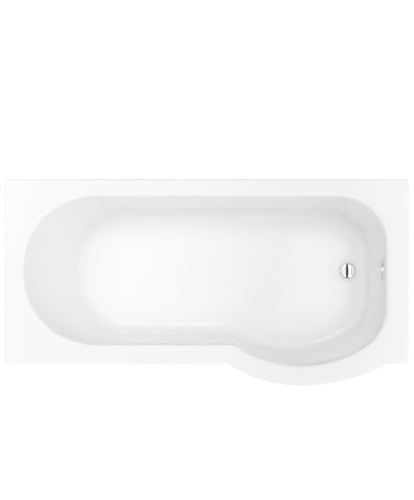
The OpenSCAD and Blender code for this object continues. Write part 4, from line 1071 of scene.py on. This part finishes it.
def waste_body():
    """Moulded waste under the basin: wide rim, neck, pipe thread and a level branch for the hose."""
    n, bore, root, foot = 96, OUTLET_D / 2 - 4.5, OUTLET_D / 2 - 1.4, NECK_Z - OUTLET_L
    rim, neck, inside, step = BODY_RIM_D / 2, BODY_D / 2, BODY_D / 2 - BODY_WALL, NECK_Z + NECK_L
    tail = TAIL_D / 2 + FIT_GAP
    wall = rounded([
        (root, NECK_Z, 0.6), (neck, NECK_Z, 3), (neck, BODY_TOP - 6, 2), (rim, BODY_TOP - 6, 0.8),
        (rim, BODY_TOP, 0.8), (inside, BODY_TOP, 0.5), (inside, step, 1.5), (tail, step, 0.5),
        (tail, NECK_Z, 0.4), (bore, NECK_Z, 1), (bore, foot, 0.8), (root, foot, 0.5)])
    thread = thread_rings(OUTLET_D / 2, 1.3, PIPE_PITCH, foot + 1, NECK_Z - 1.5, n)
    obj = gathered("waste_body_finished", [spun(*stacked(thread, rings_of(wall, n)), AT_WASTE)])
    start = neck - 3  # inside the neck's wall
    branch = rounded([(HOSE_BORE / 2, start, 0), (HOSE_D / 2, start, 0), (HOSE_D / 2, INLET_L, 1),
                      (HOSE_BORE / 2, INLET_L, 0.6)])
    combined(obj, revolved("branch", branch, (WASTE_X, WASTE_Y, INLET_Z), TO_HOSE), "UNION")
    # The branch's bore opens through the neck's wall
    cut_round(obj, (WASTE_X + 40, WASTE_Y, INLET_Z), (1, 0, 0), HOSE_BORE / 2, 40)
    sharp_edges(obj)
    finish_piece(obj, "waste_body")


waste_body()

# ---- overflow

CHAMBER_FRONT = -SHELL_T - GRP_T - OVERFLOW_GASKET_T
seal_ring("overflow_seal", "overflow_gasket", CHAMBER_D + 12, OVERFLOW_HOLE_D, CHAMBER_FRONT,
          CHAMBER_FRONT + OVERFLOW_GASKET_T, OVERFLOW_AT, WALL_TURN)
dressed("overflow_body", 0.6)


def overflow_cover():
    """Chrome face plate on its post: a domed disc with a raised middle, and water slots at its foot."""
    r, boss, wall, post = COVER_D / 2, COVER_BOSS_R, COVER_WALL, POST_D / 2
    bore, head = (COVER_SCREW_D + FIT_GAP) / 2, COVER_SCREW_D + FIT_GAP
    section = rounded([
        (bore, 0, 0.2), (post, 0, 0.3), (post, COVER_H - 4, 0), (boss, COVER_H - 4, 0.5),
        (boss + 3, COVER_H - 4 - wall, 1), (r - 8, COVER_H - 4.5 - wall, 2), (r - wall, COVER_H / 2 - 2, 2),
        (r - wall, 0.1, 0.3), (r, 0.1, 0.4), (r, COVER_H / 2 - 1, 2), (r - 1.6, COVER_H / 2 + 1.5, 3),
        (r - 8, COVER_H - 3.4, 6), (boss + 3.5, COVER_H - 2.6, 2), (boss, COVER_H - 0.5, 1.5),
        (boss - 3, COVER_H, 1.5), (head, COVER_H, 0.4), (head, COVER_H - 3, 0.2), (bore, COVER_H - 3, 0)], 6)
    obj = revolved("overflow_face_plate", section, OVERFLOW_AT, WALL_TURN, n=144)
    for turn in (-25, 25, 0):
        points, faces = block((-r - 1, -5, -1), (-r + 7, 5, 3.5), turn)
        points = points @ WALL_TURN.T + OVERFLOW_AT
        combined(obj, new_mesh("slot", points, faces, smooth=False), "DIFFERENCE")
    sharp_edges(obj)
    finish_piece(obj, "overflow_cover")


overflow_cover()


def overflow_screw():
    """Long chrome screw with a round head and a hexagon socket."""
    n, r = 48, COVER_SCREW_D / 2
    t = TAU * np.arange(n) / n
    socket = hexagon(1.9, t)
    low, head, top = CHAMBER_FRONT - CHAMBER_L + 8, COVER_H - 3, COVER_H - 0.4
    outside = rings_of(rounded([(0, low, 0), (r - 0.5, low, 0), (r, low + 1, 0), (r, head, 0),
                                (2 * r, head, 0.2), (2 * r, top, 1.2), (r + 0.1, top, 0.2)]), n)
    hollow = np.stack([socket, socket, 0 * socket]), np.repeat([[top], [top - 2], [top - 2]], n, 1)
    obj = gathered("overflow_screw_finished", [spun(*stacked(outside, hollow), OVERFLOW_AT, WALL_TURN)])
    finish_piece(obj, "overflow_screw")


overflow_screw()

# ---- hose and its nuts

HOSE_X = OVERFLOW_AT[0] + HOSE_BACK
HOSE_TOP = OVERFLOW_AT[2] - ELBOW_DROP
HOSE_END_X = WASTE_X + INLET_L
HOSE_LOW = INLET_Z + HOSE_BEND_R
DOWN, BEND = HOSE_TOP - HOSE_LOW, HOSE_BEND_R * math.pi / 2
HOSE_L = DOWN + BEND + HOSE_X - HOSE_BEND_R - HOSE_END_X
CUFF = HOSE_D


def hose_course(s):
    """Place and direction at the distances s: straight down, a quarter turn, then level to the waste."""
    a = np.clip((s - DOWN) / HOSE_BEND_R, 0, math.pi / 2)
    down, level = np.minimum(s, DOWN), np.maximum(s - DOWN - BEND, 0)
    x = HOSE_X - HOSE_BEND_R * (1 - np.cos(a)) - level
    z = HOSE_TOP - down - HOSE_BEND_R * np.sin(a)
    place = np.stack([x, np.full(len(s), WASTE_Y), z], 1)
    return place, np.stack([-np.sin(a), np.zeros(len(s)), -np.cos(a)], 1)


def ribbed_hose():
    """Corrugated hose: the outside swings between root and crest once a rib, between plain cuffs."""
    ribs = int((HOSE_L - 2 * CUFF) / RIB_PITCH)
    step = (HOSE_L - 2 * CUFF) / ribs
    crest, root = HOSE_D / 2 - 0.2, HOSE_D / 2 - RIB_H
    k = np.arange(8 * ribs + 1) / 8
    swing = np.clip(0.5 - 0.75 * np.cos(TAU * k), 0, 1)
    lead = np.array([0, 0.6, CUFF - 2])
    s = np.concatenate([lead, CUFF + k * step, HOSE_L - lead[::-1]])
    cuff = np.array([crest - 0.5, crest, crest])
    r = np.concatenate([cuff, root + (crest - root) * swing, cuff[::-1]])
    back = np.linspace(HOSE_L, 0, 60)
    place, along = hose_course(np.concatenate([s, back]))
    radius = np.concatenate([r, np.full(len(back), HOSE_BORE / 2)])
    obj = gathered("ribbed_hose", [swept(place, along, (0, 1, 0), radius, 32, True)])
    finish_piece(obj, "overflow_hose")


ribbed_hose()


def gripped_nut(place, turn):
    """Hand nut with 24 grips: the radius swings as |cos(12 * angle)| cubed, chamfered at both ends."""
    n, length = 144, HOSE_NUT_L
    t = TAU * np.arange(n) / n
    grip = HOSE_D / 2 + 4.2 + 1.4 * np.abs(np.cos(12 * t)) ** 3
    z = np.array([0, 0.8, 2.2, length - 2.2, length - 0.8, length])[:, None]
    ease = np.array([1.6, 0.5, 0, 0, 0.5, 1.6])[:, None]
    bore = HOSE_D / 2 + FIT_GAP
    inside = rings_of([(bore + 0.8, length), (bore, length - 0.8), (bore, 0.8), (bore + 0.8, 0)], n)
    return spun(*stacked((grip - ease, np.repeat(z, n, 1)), inside), place, turn)


hose_nuts = [gripped_nut((HOSE_X, WASTE_Y, HOSE_TOP - HOSE_NUT_L + HOSE_NUT_OVER), None),
             gripped_nut((HOSE_END_X - HOSE_NUT_OVER, WASTE_Y, INLET_Z), TO_HOSE)]
finish_piece(gathered("hose_nuts_finished", hose_nuts), "hose_nuts")

# ---- camera, floor and light

CAMERA_ABOVE_RIM = 4.5
MM_A_PIXEL = 4.139
IMAGE_W, IMAGE_H = 414, 500
SENSOR = 36.0
RIM_MIDDLE_ROW = 282.55
RIM_MIDDLE_COLUMN = 206.75

camera = bpy.data.objects.new("camera", bpy.data.cameras.new("camera"))
camera.data.sensor_width = SENSOR
camera.data.lens = SENSOR * CAMERA_ABOVE_RIM / (IMAGE_H * MM_A_PIXEL * MM)
camera.data.shift_y = (RIM_MIDDLE_ROW - IMAGE_H / 2) / IMAGE_H
camera.data.shift_x = (IMAGE_W / 2 - RIM_MIDDLE_COLUMN) / IMAGE_H
camera.location = (0, 0, RIM_H * MM + CAMERA_ABOVE_RIM)
camera.data.clip_end = 50
bpy.context.scene.collection.objects.link(camera)
bpy.context.scene.camera = camera


FLOOR_GLOW = 0.72


def studio_floor():
    """A wide pale floor that takes soft shadows, with a glow of its own so that it reads white.

    Only the picture sees the glow: it doesn't light the bath from below.
    """
    bpy.ops.mesh.primitive_plane_add(size=24, location=(0, 0, 0))
    floor = bpy.context.object
    floor.name = "studio_floor"
    mat, tree, shader, _ = start("studio_floor", "#D0D0D0", Roughness=0.9)
    shader.inputs["Emission Color"].default_value = (1, 1, 1, 1)
    path = put(tree, "LightPath").outputs["Is Camera Ray"]
    put(tree, "Math", {"operation": "MULTIPLY", 1: FLOOR_GLOW}, {0: path},
        shader.inputs["Emission Strength"])
    floor.data.materials.append(mat)


studio_floor()


def area_light(name, place, aim, size, watts):
    """A square soft light at place, turned to aim, both in metres."""
    light = bpy.data.objects.new(name, bpy.data.lights.new(name, "AREA"))
    light.data.size = size
    light.data.energy = watts
    light.location = place
    light.rotation_euler = (Vector(aim) - Vector(place)).to_track_quat("-Z", "Y").to_euler()
    bpy.context.scene.collection.objects.link(light)


# Dome as share of the way up and strength; glows as strength, azimuth and elevation
SKY_RISE = ((0, 0), (0.25, 0), (0.5, 0.95), (0.68, 0.4), (0.79, 2.4), (0.9, 1), (1, 1.1))
SKY_GLOWS = ((1.3, 270, 10), (0.85, 0, 10), (0.2, 0, 30), (0.1, 180, 10), (0.2, 90, 30))
GLOW_POWER = 6.0
# The flag's middle and half width as the x part of a direction, and where it ends as the z part
FLAG_AT, FLAG_HALF = 0.089, 0.055
FLAG_NONE, FLAG_ALL = 0.80, 0.86


def studio_sky():
    """A soft dome with a bright ring round its top, and broad glows low on its sides.

    The dome's strength is read off SKY_RISE by the elevation, asin(z) / 90 degrees, and each glow
    adds k * max(0, d . v) ^ GLOW_POWER. A dark flag hangs overhead, a band across the bath that
    the chrome cap mirrors.
    """
    world = bpy.data.worlds.new("studio")
    world.use_nodes = True
    tree = world.node_tree
    way = put(tree, "TexCoord").outputs["Generated"]
    split = put(tree, "SeparateXYZ", None, {0: way})
    rise = put(tree, "Math", {"operation": "ARCSINE"}, {0: split.outputs["Z"]})
    rise = put(tree, "Math", {"operation": "MULTIPLY", 1: 2 / math.pi}, {0: rise.outputs[0]})
    dome = put(tree, "ValToRGB", None, {"Fac": rise.outputs[0]})
    stops = dome.color_ramp.elements
    while len(stops) < len(SKY_RISE):
        stops.new(0.5)
    for stop, (at, level) in zip(stops, SKY_RISE):
        stop.position = at
        stop.color = (level, level, level, 1)
    total = dome.outputs["Color"]
    for k, azimuth, elevation in SKY_GLOWS:
        a, e = math.radians(azimuth), math.radians(elevation)
        aim = (math.cos(e) * math.cos(a), math.cos(e) * math.sin(a), math.sin(e))
        toward = put(tree, "VectorMath", {"operation": "DOT_PRODUCT", 1: aim}, {0: way})
        facing = put(tree, "Math", {"operation": "MAXIMUM", 1: 0.0}, {0: toward.outputs["Value"]})
        lobe = put(tree, "Math", {"operation": "POWER", 1: GLOW_POWER}, {0: facing.outputs[0]})
        total = put(tree, "Math", {"operation": "MULTIPLY_ADD", 1: k},
                    {0: lobe.outputs[0], 2: total}).outputs[0]
    off = put(tree, "Math", {"operation": "SUBTRACT", 1: FLAG_AT}, {0: split.outputs["X"]})
    off = put(tree, "Math", {"operation": "ABSOLUTE"}, {0: off.outputs[0]})
    band = put(tree, "MapRange", {"From Min": FLAG_HALF * 0.8, "From Max": FLAG_HALF * 1.3,
                                  "To Min": 0.05, "To Max": 1.0}, {"Value": off.outputs[0]})
    low = put(tree, "MapRange", {"From Min": FLAG_NONE, "From Max": FLAG_ALL,
                                 "To Min": 1.0, "To Max": 0.0}, {"Value": split.outputs["Z"]})
    clear = put(tree, "Math", {"operation": "MAXIMUM"},
                {0: band.outputs["Result"], 1: low.outputs["Result"]})
    background = tree.nodes["Background"]
    background.inputs["Color"].default_value = (1, 1, 1, 1)
    put(tree, "Math", {"operation": "MULTIPLY"}, {0: total, 1: clear.outputs[0]},
        background.inputs["Strength"])
    bpy.context.scene.world = world


studio_sky()
bpy.context.scene.view_settings.view_transform = "Standard"
area_light("overhead_light", (0, 2.4, 6.3), (0, 0, 0.3), 1.4, 18)
# A nearer light over the head end, so the deck and floor fade a little towards the waste
area_light("head_end_light", (-1.9, 0.6, 2.6), (-0.4, 0, 0.3), 1.2, 6)
# A small low light beyond the waste end, which the foot of the backrest mirrors
area_light("waste_end_light", (4.2, -0.3, 1.75), (-0.5, 0, 0.2), 0.6, 6)
